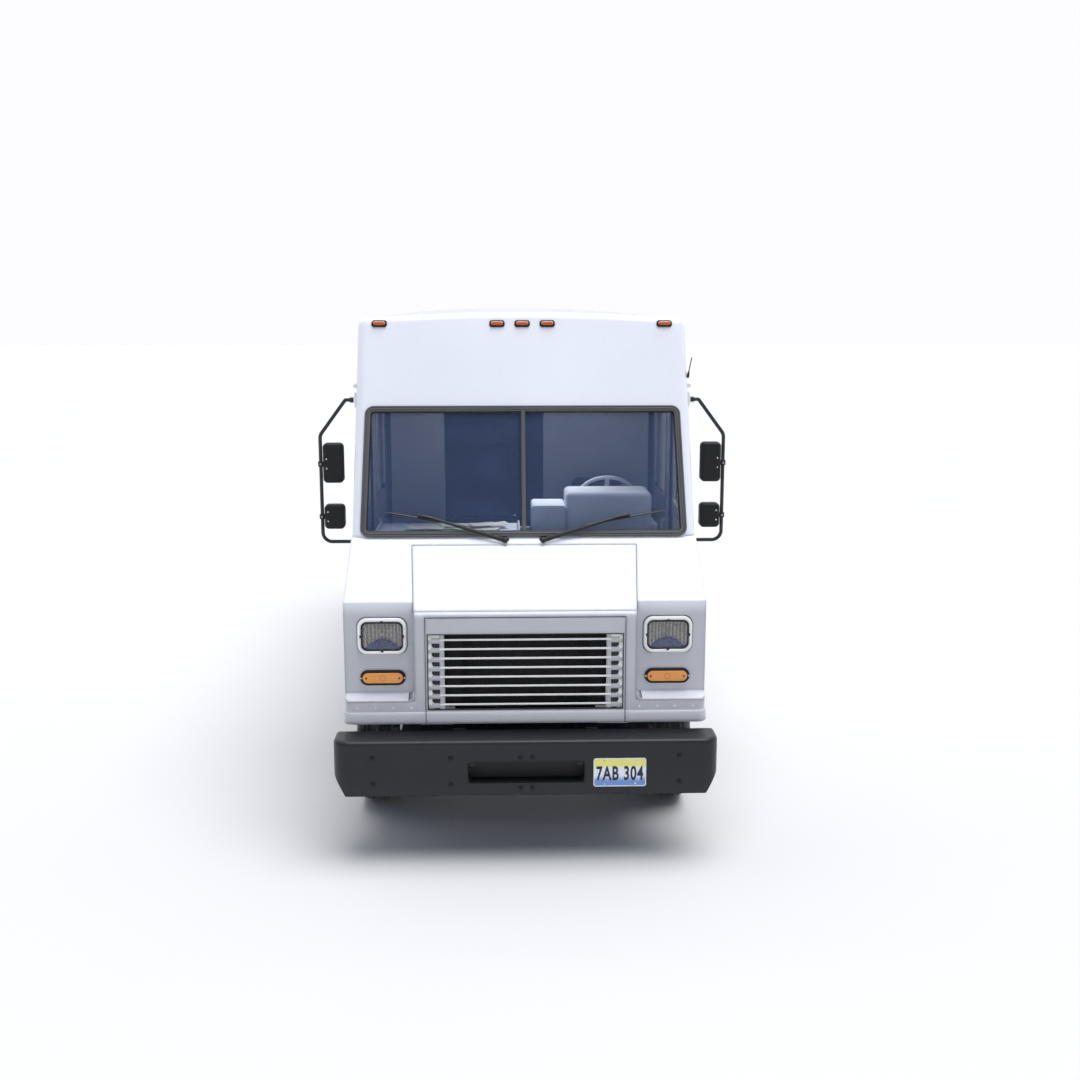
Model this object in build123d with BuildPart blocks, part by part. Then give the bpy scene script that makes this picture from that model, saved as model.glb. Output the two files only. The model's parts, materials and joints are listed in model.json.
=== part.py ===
"""Step van of a mail service, as an assembly of separate pieces.

Millimetres, +Z up. The front faces -Y and the driver sits on the +X side, which
is the vehicle's left. The origin is on the ground under the middle of the van.
Places along the van are stations: distances behind the front bumper's face.
"""
from build123d import *
import os
from math import atan2, cos, degrees, hypot, radians, sin, tan

os.makedirs("parts", exist_ok=True)

# ---------------------------------------------------------------- driving sizes
length = 6900            # over the bolt domes in front and the step bumper behind
body_half = 1047         # half width of the box body
nose_half = body_half + 19         # half width of the nose at the lamps
roof_crown = 3172        # top of the roof on the centre line
roof_edge = 3132         # roof height where its side corners begin
corner_radius = 60       # round corners between roof, sides and windshield wall
wall = 25                # side walls, roof and rear frame
cap_wall = 30            # moulded front cap and nose
rake = 26                # windshield wall, degrees back from upright
hood_slope = 43          # hood, degrees above level
fold_station = 616       # where hood and windshield wall meet
fold_height = 1832
nose_station = 200       # front face of the nose
nose_bottom = 791
pocket_station = 270     # face of the two lamp pockets
pocket_inner = body_half - 397  # inner wall of a pocket
pocket_ledge = 928       # lower front edge of a pocket
pocket_floor = 963       # back edge of its sloping ledge
bolt_dome = 5            # carriage bolt heads stand this far out of the bumper
bumper_half = body_half + 71
bumper_bottom = 422
bumper_top = 750
bumper_depth = 200
bumper_plate = 8
bumper_corner = 90
slot_width = 683
slot_height = 131
slot_middle = 559
tyre_radius = 410
tyre_width = 226
rim_radius = 248
front_axle = 1100
rear_axle_station = length - 1900
front_track_half = body_half - 92  # middle of a front tyre
dual_outer = body_half - 122  # middle of an outer rear tyre
dual_inner = body_half - 376
arch_radius = 485
kingpin_half = body_half - 187
rail_half = 430          # outer face of a frame rail
rail_width = 75
rail_bottom = 560
rail_top = 760
floor_bottom = 895
floor_top = 930
deck_top = 934           # load deck behind the bulkhead
door_front = 1570        # cab doorway
door_rear = 2330
door_head = 2700
door_travel = 760
wall_top = 3050          # the roof's side flanges start here
box_rear = length - 100  # rear face of the box body
bulkhead_station = 2440
mirror_station = 1120
fit = 0.05               # radial clearance of a pin in its bore

front = -length / 2 + bolt_dome
sides = {"left": 1, "right": -1}


# ---------------------------------------------------------------- shared planes
def y_at(station):
    """Turn a station into a place along Y."""
    return front + station


def cross_plane(station):
    """Upright plane across the van; its normal points forward."""
    return Plane(origin=(0, y_at(station), 0), x_dir=(1, 0, 0), z_dir=(0, -1, 0))


def axle_plane(x, station, height):
    """Upright plane whose normal points to +X, centred on a wheel axis."""
    return Plane(origin=(x, y_at(station), height), x_dir=(0, 1, 0), z_dir=(1, 0, 0))


glass_plane = Plane(origin=(0, y_at(fold_station), fold_height), x_dir=(1, 0, 0),
                    z_dir=(0, -cos(radians(rake)), sin(radians(rake))))
hood_plane = Plane(origin=(0, y_at(fold_station), fold_height), x_dir=(1, 0, 0),
                   z_dir=(0, -sin(radians(hood_slope)), cos(radians(hood_slope))))


def up_glass(height):
    """Distance up the windshield wall from its foot to a height."""
    return (height - fold_height) / cos(radians(rake))


def slab(x0, x1, station0, station1, z0, z1, mode=Mode.ADD):
    """Upright block between two stations, for the part being built."""
    with Locations(((x0 + x1) / 2, y_at((station0 + station1) / 2), (z0 + z1) / 2)):
        Box(abs(x1 - x0), station1 - station0, z1 - z0, mode=mode)


def mirrored_slab(x0, x1, station0, station1, z0, z1, mode=Mode.ADD):
    """The same block on the left and on the right."""
    for side in sides.values():
        slab(min(side * x0, side * x1), max(side * x0, side * x1), station0, station1, z0, z1, mode)


def block(x0, x1, station0, station1, z0, z1):
    """A slab as a piece of its own, for nodes that hold several separate solids."""
    with BuildPart() as piece:
        slab(min(x0, x1), max(x0, x1), station0, station1, z0, z1)
    return piece.part


def both_sides(x0, x1, station0, station1, z0, z1):
    """The same separate slab on the left and on the right."""
    return [block(side * x0, side * x1, station0, station1, z0, z1) for side in sides.values()]


def as_node(label, pieces):
    """Write separate solids as one node without joining them."""
    node = Compound([solid for piece in pieces for solid in piece.solids()], label=label)
    export_step(node, f"parts/{label}.step")


# ---------------------------------------------------------------- chassis frame
frame_rear = length - 200
cross_stations = (470, 2050, 3300, rear_axle_station - 700, rear_axle_station + 700, frame_rear - 200)
sill_stations = (1480, 2600, 3100, 3600, 4100, rear_axle_station - 240, rear_axle_station + 240,
                 rear_axle_station + 700, rear_axle_station + 1200, frame_rear - 50)
sill_half = body_half - 87
narrow_sill_half = 540
rear_beam_half = body_half - 147

rail_sheet = 8
rail_middle = (rail_bottom + rail_top) / 2
rails = []
for side in sides.values():
    with BuildPart() as rail:
        with BuildSketch(cross_plane(bumper_depth + 5)):
            with Locations((side * (rail_half - rail_width / 2), rail_middle)):
                Rectangle(rail_width, rail_top - rail_bottom)
            with Locations((side * (rail_half - rail_sheet - rail_width / 2), rail_middle)):
                Rectangle(rail_width, rail_top - rail_bottom - 2 * rail_sheet, mode=Mode.SUBTRACT)
        extrude(amount=-(frame_rear - bumper_depth - 5))
    rails.append(rail.part)
cross_half = rail_half - rail_sheet
cross_members = [block(-cross_half, cross_half, station, station + 60, 655, 735)
                 for station in cross_stations]
sills = []
for station in sill_stations:
    clear_of_tyres = abs(station - rear_axle_station) > tyre_radius + 60 and station > 1600
    half = sill_half if clear_of_tyres else narrow_sill_half
    sills.append(block(-half, half, station, station + 60, rail_top, floor_bottom))
horns = both_sides(rail_half - rail_width, rail_half - 20, bumper_plate, bumper_depth + 5, 590, 720)
brackets = both_sides(632, 742, bumper_plate, 430, 600, 715)
bracket_ties = both_sides(rail_half, 632, 330, 430, 620, 710)
rear_beam = [block(-rear_beam_half, rear_beam_half, frame_rear, frame_rear + 60, 600, floor_bottom)]
as_node("chassis_frame", rails + cross_members + sills + horns + brackets + bracket_ties + rear_beam)

# Fuel tank on the left rail and battery box on the right one.
tank_radius = 60
with BuildPart() as fuel_tank:
    slab(rail_half, 880, 2560, 3560, 470, 740)
    fillet(fuel_tank.edges().filter_by(Axis.Y), tank_radius)
with BuildPart() as battery_box:
    slab(-850, -rail_half, 2420, 2880, 480, 740)
    fillet(battery_box.edges().filter_by(Axis.Z), 12)
as_node("tank_and_battery", [fuel_tank.part, battery_box.part])


# ---------------------------------------------------------------- front bumper
bolt_places = [(side * (bumper_half - 230), z) for side in sides.values() for z in (655, 498)]
bolt_places += [(-438, 650), (-438, 491)]
bolt_places += [(side * 35, z) for side in sides.values() for z in (651, 465)]
bolt_shank = 8


def bumper_block(inset):
    """Outer block of the bumper, drawn in by a plate's thickness for its hollow."""
    half = bumper_half - inset
    run_out = 0 if inset == 0 else 20
    with BuildPart() as block:
        with BuildSketch(Plane.XY.offset(bumper_bottom + inset)):
            with Locations((0, y_at((inset + bumper_depth + run_out) / 2))):
                plan = Rectangle(2 * half, bumper_depth + run_out - inset)
            fillet(plan.vertices().group_by(Axis.Y)[0], bumper_corner - inset)
        extrude(amount=bumper_top - bumper_bottom - 2 * inset)
        with BuildSketch(cross_plane(-5)):
            for side in sides.values():
                with BuildLine():
                    Polyline((side * (half + 30), bumper_bottom - 30), (side * (half + 30), 540),
                             (side * half, 540), (side * (half - 70), bumper_bottom + inset),
                             (side * (half - 70), bumper_bottom - 30), close=True)
                make_face()
        extrude(amount=-(bumper_depth + 60), mode=Mode.SUBTRACT)
        rim = block.faces().sort_by(Axis.Z)[-1].edges()
        rim = rim.filter_by(lambda edge: edge.center().Y < y_at(bumper_depth) - 1)
        fillet(rim, 26 - inset)
    return block.part


bumper_outer = bumper_block(0)
bumper_hollow = bumper_block(bumper_plate)
with BuildPart() as front_bumper:
    add(bumper_outer)
    add(bumper_hollow, mode=Mode.SUBTRACT)
    with BuildSketch(cross_plane(-5)):
        with Locations((0, slot_middle)):
            RectangleRounded(slot_width, slot_height, 24)
        with Locations(*bolt_places):
            Circle(bolt_shank)
    extrude(amount=-30, mode=Mode.SUBTRACT)
front_bumper.part.label = "front_bumper"
export_step(front_bumper.part, "parts/front_bumper.step")

with BuildPart() as bumper_bolts:
    with BuildSketch(cross_plane(-bolt_dome)):
        with Locations(*bolt_places):
            Circle(13)
    extrude(amount=-bolt_dome)
    fillet(bumper_bolts.faces().sort_by(Axis.Y)[0:len(bolt_places)].edges(), 3.5)
    with BuildSketch(cross_plane(0)):
        with Locations(*bolt_places):
            Circle(bolt_shank)
    extrude(amount=-bumper_plate)
    with BuildSketch(cross_plane(bumper_plate)):
        with Locations(*bolt_places):
            RegularPolygon(13, 6)
    extrude(amount=-10)
bumper_bolts.part.label = "bumper_bolts"
export_step(bumper_bolts.part, "parts/bumper_bolts.step")

plate_x = 542
plate_z = 555
plate_width = 306
plate_height = 172
plate_sheet = 3
plate_screws = [(plate_x + a * 89, plate_z + b * 70) for a in (-1, 1) for b in (-1, 1)]
with BuildPart() as licence_plate:
    with BuildSketch(cross_plane(-plate_sheet)):
        with Locations((plate_x, plate_z)):
            RectangleRounded(plate_width, plate_height, 12)
    extrude(amount=-plate_sheet)
    with BuildSketch(cross_plane(-bolt_dome)):
        with Locations(*plate_screws):
            Circle(6)
    extrude(amount=-(bolt_dome - plate_sheet))
licence_plate.part.label = "licence_plate"
export_step(licence_plate.part, "parts/licence_plate.step")

# ---------------------------------------------------------------- axles, springs
beam_top = 465
boss_radius = 38
boss_half = 40           # half height of the kingpin boss
kingpin_radius = 18
axle_height = tyre_radius
rear_spindle = 45
propshaft_z_rear = 430
diff_nose_station = rear_axle_station - 300

with BuildPart() as axles:
    slab(60 - kingpin_half, kingpin_half - 60, front_axle - 40, front_axle + 40, beam_top - 90, beam_top)
    for side in sides.values():
        slab(min(side * (kingpin_half - 70), side * kingpin_half),
             max(side * (kingpin_half - 70), side * kingpin_half),
             front_axle - 25, front_axle + 25, axle_height - 30, axle_height + 30)
        with Locations((side * kingpin_half, y_at(front_axle), axle_height)):
            Cylinder(boss_radius, 2 * boss_half)
            Cylinder(kingpin_radius + fit, 2 * boss_half + 2, mode=Mode.SUBTRACT)
    with Locations(Location((0, y_at(rear_axle_station), axle_height), (0, 90, 0))):
        Cylinder(54, 2 * (dual_inner - 151))
        Cylinder(rear_spindle, 2 * (dual_outer + 90))
    with Locations((0, y_at(rear_axle_station), axle_height)):
        Sphere(165)
    with Locations(Location((0, y_at(diff_nose_station + 75), propshaft_z_rear - 8), (90, 0, 0))):
        Cylinder(60, 170)
axles.part.label = "axles"
export_step(axles.part, "parts/axles.step")

spring_x = rail_half - rail_width / 2
leaf = 14
with BuildPart() as leaf_springs:
    for station in (front_axle, rear_axle_station):
        for side in sides.values():
            x0 = side * spring_x - 32
            x1 = side * spring_x + 32
            for layer, reach in enumerate((280, 400, 520)):
                slab(x0, x1, station - reach, station + reach,
                     beam_top + layer * leaf, beam_top + (layer + 1) * leaf)
            for end in (-1, 1):
                eye = station + end * 490
                slab(x0, x1, eye - 25, eye + 25, beam_top + 3 * leaf, rail_bottom)
            slab(x0, x1, station - 60, station + 60, beam_top + 3 * leaf, beam_top + 3 * leaf + 20)
leaf_springs.part.label = "leaf_springs"
export_step(leaf_springs.part, "parts/leaf_springs.step")

# Steering knuckle: two lugs on the kingpin, an outer block, a spindle and an arm.
spindle_radius = 30
knuckle_face = kingpin_half + 70
lug = 24
arm_reach = 150
arm_pin = 9
tie_height = axle_height - boss_half - 5 - lug / 2
for name, side in sides.items():
    with BuildPart() as knuckle:
        for up in (-1, 1):
            lug_mid = axle_height + up * (boss_half + 5 + lug / 2)
            with Locations((side * kingpin_half, y_at(front_axle), lug_mid)):
                Cylinder(boss_radius, lug)
            slab(min(side * kingpin_half, side * knuckle_face),
                 max(side * kingpin_half, side * knuckle_face),
                 front_axle - 34, front_axle + 34, lug_mid - lug / 2, lug_mid + lug / 2)
        with Locations((side * kingpin_half, y_at(front_axle), axle_height)):
            Cylinder(kingpin_radius, 2 * boss_half + 12)
        slab(min(side * (knuckle_face - 24), side * knuckle_face),
             max(side * (knuckle_face - 24), side * knuckle_face),
             front_axle - 34, front_axle + 34, axle_height - 68, axle_height + 68)
        with Locations(Location((side * (knuckle_face + 45), y_at(front_axle), axle_height), (0, 90, 0))):
            Cylinder(spindle_radius, 100)
        slab(side * kingpin_half - 16, side * kingpin_half + 16,
             front_axle, front_axle + arm_reach, tie_height - lug / 2, tie_height + lug / 2)
        with Locations((side * kingpin_half, y_at(front_axle + arm_reach), tie_height)):
            Cylinder(20, lug)
            Cylinder(arm_pin + fit, lug + 2, mode=Mode.SUBTRACT)
    knuckle.part.label = f"knuckle_{name}"
    export_step(knuckle.part, f"parts/knuckle_{name}.step")

tie_drop = 30
with BuildPart() as tie_rod:
    rod_z = tie_height - lug / 2 - tie_drop / 2 - 2
    with Locations(Location((0, y_at(front_axle + arm_reach), rod_z), (0, 90, 0))):
        Cylinder(13, 2 * kingpin_half)
    for side in sides.values():
        with Locations((side * kingpin_half, y_at(front_axle + arm_reach), rod_z)):
            Cylinder(20, tie_drop)
        with Locations((side * kingpin_half, y_at(front_axle + arm_reach), tie_height - 4)):
            Cylinder(arm_pin, lug + 10)
tie_rod.part.label = "tie_rod"
export_step(tie_rod.part, "parts/tie_rod.step")


# ---------------------------------------------------------------- wheels
def tyre_at(centre, station):
    """Radial tyre round an X axis: rounded shoulders, straight sidewalls."""
    with BuildPart() as tyre:
        with BuildSketch(cross_plane(station)):
            with Locations((centre, axle_height + (tyre_radius + rim_radius) / 2)):
                section = Rectangle(tyre_width, tyre_radius - rim_radius)
            outer = section.vertices().group_by(Axis.Y)[-1]
            fillet(outer, 38)
            fillet(section.vertices().group_by(Axis.Y)[0], 22)
        revolve(axis=Axis((0, y_at(station), axle_height), (1, 0, 0)))
    return tyre.part


def rim_at(centre, station, face, bore, hub_end):
    """Steel disc wheel: barrel, dished disc with hand holes, hub and nuts.

    face is the side on which the disc shows, hub_end the hub's inner length.
    """
    disc = centre + face * 40
    with BuildPart() as rim:
        with BuildSketch(cross_plane(station)):
            with Locations((centre, axle_height + rim_radius - 7)):
                Rectangle(tyre_width - 44, 14)
            with Locations((disc, axle_height + rim_radius / 2)):
                Rectangle(14, rim_radius - 12)
            hub_length = 60 + hub_end
            with Locations((disc + face * (60 - hub_length / 2), axle_height + 46)):
                Rectangle(hub_length, 92)
        revolve(axis=Axis((0, y_at(station), axle_height), (1, 0, 0)))
        with BuildSketch(axle_plane(disc, station, axle_height)):
            Circle(bore + fit)
        extrude(amount=hub_length + 20, both=True, mode=Mode.SUBTRACT)
        with BuildSketch(axle_plane(disc, station, axle_height)):
            with PolarLocations(185, 8, start_angle=22.5):
                Circle(24)
        extrude(amount=30, both=True, mode=Mode.SUBTRACT)
        with BuildSketch(axle_plane(disc + face * 7, station, axle_height)):
            with PolarLocations(128, 8):
                RegularPolygon(15, 6)
        extrude(amount=face * 22)
    return rim.part


for name, side in sides.items():
    tyre = tyre_at(side * front_track_half, front_axle)
    tyre.label = f"tyre_front_{name}"
    export_step(tyre, f"parts/tyre_front_{name}.step")
    rim = rim_at(side * front_track_half, front_axle, side, spindle_radius, 40)
    rim.label = f"rim_front_{name}"
    export_step(rim, f"parts/rim_front_{name}.step")
    duals = tyre_at(side * dual_outer, rear_axle_station) + tyre_at(side * dual_inner, rear_axle_station)
    duals.label = f"tyres_rear_{name}"
    export_step(duals, f"parts/tyres_rear_{name}.step")
    outer_rim = rim_at(side * dual_outer, rear_axle_station, -side, rear_spindle, 15)
    inner_rim = rim_at(side * dual_inner, rear_axle_station, side, rear_spindle, 15)
    rims = outer_rim + inner_rim
    rims.label = f"rims_rear_{name}"
    export_step(rims, f"parts/rims_rear_{name}.step")

# ---------------------------------------------------------------- drivetrain
fan_station = 425
fan_z = 1060
fan_radius = 235
fan_pin = 15
shaft_front_station = 1880
shaft_front_z = 600
shaft_radius = 42
pipe_x = -305
pipe_z = 515
muffler_x = -620

block_half = 220
block_front = 560
block_rear = 1180
bell_rear = 1340


def along_y(radius, station0, station1, x, z):
    """Round piece along the van."""
    with BuildPart() as piece:
        with Locations(Location((x, y_at((station0 + station1) / 2), z), (90, 0, 0))):
            Cylinder(radius, station1 - station0)
    return piece.part


engine_pieces = [
    block(-block_half, block_half, block_front, block_rear, 640, 1120),
    block(-170, 170, 600, 1140, 1120, 1300),
    block(-150, 150, 620, 1120, 545, 640),
    along_y(185, block_rear, bell_rear, 0, shaft_front_z + 10),
    along_y(110, bell_rear, shaft_front_station - 10, 0, shaft_front_z),
    along_y(60, 480, block_front, 0, fan_z),
    along_y(fan_pin, fan_station - 15, 480, 0, fan_z),
]
with BuildPart() as exhaust:
    with BuildLine() as pipe_route:
        FilletPolyline((-block_half, y_at(1000), 700), (pipe_x, y_at(1000), 700),
                       (pipe_x, y_at(1300), pipe_z),
                       (pipe_x, y_at(3020), pipe_z), (muffler_x, y_at(3380), pipe_z),
                       (muffler_x, y_at(3500), pipe_z), radius=45)
    with BuildSketch(Plane(origin=pipe_route.wire() @ 0, z_dir=pipe_route.wire() % 0)):
        Circle(30)
    sweep()
    with Locations(Location((muffler_x, y_at(3850), pipe_z), (90, 0, 0))):
        Cylinder(100, 700)
    with Locations(Location((muffler_x, y_at(4300), pipe_z), (90, 0, 0))):
        Cylinder(28, 240)
    for station in (3600, 4060):
        slab(muffler_x - 10, -rail_half, station, station + 40, 610, 690)
as_node("engine", engine_pieces + [exhaust.part])

core = [block(-400, 400, 300, 355, 850, 1290)]
tanks = [block(-420, 420, 295, 360, 1290, 1350), block(-420, 420, 295, 360, 790, 850)]
with BuildPart() as shroud:
    slab(-420, 420, 360, 396, 800, 1340)
    with BuildSketch(cross_plane(340)):
        with Locations((0, fan_z)):
            Circle(fan_radius + 12)
    extrude(amount=-100, mode=Mode.SUBTRACT)
feet = both_sides(290, 350, 310, 350, 735, 790) + [block(-400, 400, 310, 470, 715, 735)]
as_node("radiator", core + tanks + [shroud.part] + feet)

with BuildPart() as fan:
    with Locations(Location((0, y_at(fan_station), fan_z), (90, 0, 0))):
        Cylinder(55, 40)
    for blade in range(6):
        turn = radians(blade * 60)
        pitch = radians(35)
        chord = (-sin(turn) * cos(pitch), sin(pitch), cos(turn) * cos(pitch))
        with BuildSketch(Plane(origin=(0, y_at(fan_station), fan_z), x_dir=(cos(turn), 0, sin(turn)),
                               z_dir=chord)):
            with Locations((142, 0)):
                Rectangle(180, 5)
        extrude(amount=28, both=True)
    with Locations(Location((0, y_at(fan_station), fan_z), (90, 0, 0))):
        Cylinder(fan_pin + fit, 60, mode=Mode.SUBTRACT)
fan.part.label = "fan"
export_step(fan.part, "parts/fan.step")

shaft_rear_station = diff_nose_station - 12
shaft_drop = shaft_front_z - propshaft_z_rear
shaft_run = shaft_rear_station - shaft_front_station
shaft_direction = (0, shaft_run, -shaft_drop)
with BuildPart() as propshaft:
    shaft_start = Plane(origin=(0, y_at(shaft_front_station), shaft_front_z), z_dir=shaft_direction)
    with BuildSketch(shaft_start):
        Circle(shaft_radius)
    extrude(amount=hypot(shaft_run, shaft_drop) - 16)
    with BuildSketch(shaft_start):
        Circle(shaft_radius + 16)
    extrude(amount=26)
    with BuildSketch(shaft_start.offset(hypot(shaft_run, shaft_drop) - 42)):
        Circle(shaft_radius + 12)
    extrude(amount=26)
propshaft.part.label = "propshaft"
export_step(propshaft.part, "parts/propshaft.step")

# ---------------------------------------------------------------- floor, engine cover
cover_half = 330
cover_rear = 1385
cover_top = 1500
firewall_station = 655
step_inner = 700
floor_half = body_half - 30
floor_plates = [block(-floor_half, floor_half, door_front, box_rear, floor_bottom, floor_top),
                block(-cover_half, cover_half, cover_rear, door_front, floor_bottom, floor_top),
                block(-cover_half, cover_half, firewall_station, firewall_station + 8, cover_top, 1800)]
floor_plates += both_sides(cover_half, floor_half, firewall_station, door_front, floor_bottom, floor_top)
floor_plates += both_sides(cover_half, body_half - 37, firewall_station, firewall_station + 8,
                           floor_top, 1800)
cover_sheet = 12
cover_front = firewall_station + 8
covers = both_sides(cover_half - cover_sheet, cover_half, cover_front, cover_rear, floor_top, cover_top)
covers += [block(cover_sheet - cover_half, cover_half - cover_sheet, cover_front, cover_rear,
                 cover_top - cover_sheet, cover_top),
           block(cover_sheet - cover_half, cover_half - cover_sheet, cover_rear - cover_sheet, cover_rear,
                 floor_top, cover_top - cover_sheet)]
step_front = door_front + 30
step_rear = door_rear - 30
steps = both_sides(740, body_half - 17, step_front, step_rear, 470, 490)
steps += both_sides(740, 752, step_front, step_rear, 490, floor_bottom)
steps += both_sides(rail_half, 740, 1880, 1940, 700, 740)
deck_half = body_half - 97
deck = [block(-deck_half, deck_half, bulkhead_station + 65, box_rear - 65, floor_top, deck_top)]
as_node("floor", floor_plates + covers + steps + deck)


# ---------------------------------------------------------------- body shell
def box_section(plane, inset, foot, rounded=True):
    """Sketch of the box body's cross-section with its crowned roof."""
    half = body_half - inset
    with BuildSketch(plane) as section:
        with BuildLine():
            crown = ThreePointArc((-half, roof_edge - inset), (0, roof_crown - inset),
                                  (half, roof_edge - inset))
            Polyline(crown @ 1, (half, foot), (-half, foot), crown @ 0)
        make_face()
        if rounded:
            fillet(section.vertices().group_by(Axis.Y)[-1], corner_radius - inset)
    return section.sketch


with BuildPart() as roof_outer:
    extrude(box_section(cross_plane(door_front), 0, wall_top), amount=-(box_rear - door_front))
with BuildPart() as roof_inner:
    extrude(box_section(cross_plane(door_front - 10), wall, wall_top - 10),
            amount=-(box_rear - door_front + 20))
with BuildPart() as roof_shell:
    add(roof_outer.part)
    add(roof_inner.part, mode=Mode.SUBTRACT)

# A crowned middle sheet between two rounded edge rails, on curved bows.
roof_seam = body_half - 77
bow_half = body_half - 107
roof_pieces = []
for x0, x1 in ((-body_half, -roof_seam), (-roof_seam, roof_seam), (roof_seam, body_half)):
    with BuildPart() as roof_strip:
        add(roof_shell.part)
        slab(x0, x1, door_front, box_rear, wall_top, roof_crown, mode=Mode.INTERSECT)
    roof_pieces.append(roof_strip.part)
for station in range(2950, box_rear - 300, 700):
    with BuildPart() as bow:
        extrude(box_section(cross_plane(station), wall, wall_top + 30, False), amount=-40)
        extrude(box_section(cross_plane(station), wall + 30, wall_top + 20, False), amount=-40,
                mode=Mode.SUBTRACT)
        slab(-bow_half, bow_half, station, station + 40, wall_top, roof_crown, mode=Mode.INTERSECT)
    roof_pieces.append(bow.part)
as_node("roof", roof_pieces)

skirt_bottom = 600
rear_arch_top = axle_height + arch_radius
rear_post_half = body_half - 89
wall_inner = body_half - wall
walls = both_sides(wall_inner, body_half, door_rear, box_rear, rear_arch_top, wall_top)
walls += both_sides(wall_inner, body_half, door_front, door_rear, door_head, wall_top)
walls += both_sides(rear_post_half, wall_inner, box_rear - 60, box_rear, floor_top, wall_top)
walls += [block(-rear_post_half, rear_post_half, box_rear - 60, box_rear, 2995, wall_top)]
with BuildPart() as rear_header:
    extrude(box_section(cross_plane(box_rear - 60), wall, wall_top), amount=-60)
walls.append(rear_header.part)
for side in sides.values():
    for skirt_front, skirt_rear in ((door_rear, rear_axle_station), (rear_axle_station, box_rear)):
        with BuildPart() as skirt:
            slab(min(side * wall_inner, side * body_half), max(side * wall_inner, side * body_half),
                 skirt_front, skirt_rear, skirt_bottom, rear_arch_top)
            with BuildSketch(axle_plane(side * (wall_inner - 5), rear_axle_station, axle_height)):
                Circle(arch_radius)
            extrude(amount=side * (wall + 10), mode=Mode.SUBTRACT)
        walls.append(skirt.part)
as_node("body_walls", walls)

# ---------------------------------------------------------------- front cap
gasket_low = up_glass(1833)
gasket_high = up_glass(2596)
gasket_width = 36
gasket_proud = 12
opening_lip = 9
gasket_half_low = body_half - 52
gasket_half_high = body_half - 64


def windshield_outline(inset):
    """Sketch on the windshield wall: the gasket's outline drawn in by inset."""
    with BuildSketch(glass_plane) as outline:
        Polygon((-gasket_half_low, gasket_low), (gasket_half_low, gasket_low),
                (gasket_half_high, gasket_high), (-gasket_half_high, gasket_high), align=None)
        fillet(outline.vertices(), 56)
        if inset:
            offset(amount=-inset, mode=Mode.REPLACE)
    return outline.sketch


def cap_block(inset):
    """Upper front of the body: box section cut off by the raked windshield wall."""
    reach = 0 if inset == 0 else 20
    with BuildPart() as block:
        extrude(box_section(cross_plane(300), inset, fold_height - reach, rounded=False),
                amount=-(door_front - 300 + reach))
        split(bisect_by=glass_plane.offset(-inset), keep=Keep.BOTTOM)
        front_face = block.faces().sort_by(Axis.Y)[0]
        edges = front_face.edges().filter_by(lambda edge: edge.center().Z > fold_height + 5)
        top_sides = block.edges().filter_by(Axis.Y).filter_by(lambda edge: edge.center().Z > wall_top)
        fillet(edges + top_sides, corner_radius - inset)
    return block.part


cap_outer = cap_block(0)
cap_hollow = cap_block(cap_wall)
quarter_front = 1230
quarter_rear = 1500
with BuildPart() as front_cap:
    add(cap_outer)
    add(cap_hollow, mode=Mode.SUBTRACT)
    extrude(windshield_outline(gasket_width - opening_lip), amount=cap_wall + 20, both=True,
            mode=Mode.SUBTRACT)
    with BuildSketch(Plane.YZ):
        with Locations((y_at((quarter_front + quarter_rear) / 2), 2230)):
            RectangleRounded(quarter_rear - quarter_front, 640, 40)
    extrude(amount=body_half + 10, both=True, mode=Mode.SUBTRACT)
front_cap.part.label = "front_cap"
export_step(front_cap.part, "parts/front_cap.step")

glass_depth = 12
pane = 6
post_half = 13
with BuildPart() as gasket_face:
    extrude(windshield_outline(0), amount=gasket_proud)
    extrude(windshield_outline(gasket_width), amount=gasket_proud, mode=Mode.SUBTRACT)
with BuildPart() as gasket_lip:
    extrude(windshield_outline(gasket_width - opening_lip), amount=-22)
    extrude(windshield_outline(gasket_width), amount=-22, mode=Mode.SUBTRACT)
post_low = gasket_low + gasket_width
post_high = gasket_high - gasket_width
with BuildPart() as gasket_post:
    with BuildSketch(glass_plane.offset(-16)):
        with Locations((0, (post_low + post_high) / 2)):
            Rectangle(2 * post_half, post_high - post_low)
    extrude(amount=26)
wiper_half = 115
wiper_foot = -28
spindle = 9
with BuildPart() as wiper_spindles:
    with BuildSketch(glass_plane.offset(-24)):
        with Locations((-wiper_half, wiper_foot), (wiper_half, wiper_foot)):
            Circle(spindle)
    extrude(amount=24 + 36)
with BuildPart() as windshield_gasket:
    add(gasket_face.part)
    add(gasket_lip.part)
    add(gasket_post.part)
    add(wiper_spindles.part)
windshield_gasket.part.label = "windshield_gasket"
export_step(windshield_gasket.part, "parts/windshield_gasket.step")

with BuildPart() as front_panes:
    extrude(windshield_outline(gasket_width), amount=-glass_depth)
    extrude(windshield_outline(gasket_width), amount=-(glass_depth - pane), mode=Mode.SUBTRACT)
    with BuildSketch(glass_plane.offset(-30)):
        with Locations((0, (post_low + post_high) / 2)):
            Rectangle(2 * post_half, post_high - post_low + 40)
    extrude(amount=60, mode=Mode.SUBTRACT)
with BuildPart() as windshield_glass:
    add(front_panes.part)
    for side in sides.values():
        with BuildSketch(Plane.YZ.offset(side * (body_half - 18))):
            with Locations((y_at((quarter_front + quarter_rear) / 2), 2230)):
                RectangleRounded(quarter_rear - quarter_front, 640, 40)
        extrude(amount=side * pane)
windshield_glass.part.label = "windshield_glass"
export_step(windshield_glass.part, "parts/windshield_glass.step")

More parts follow.
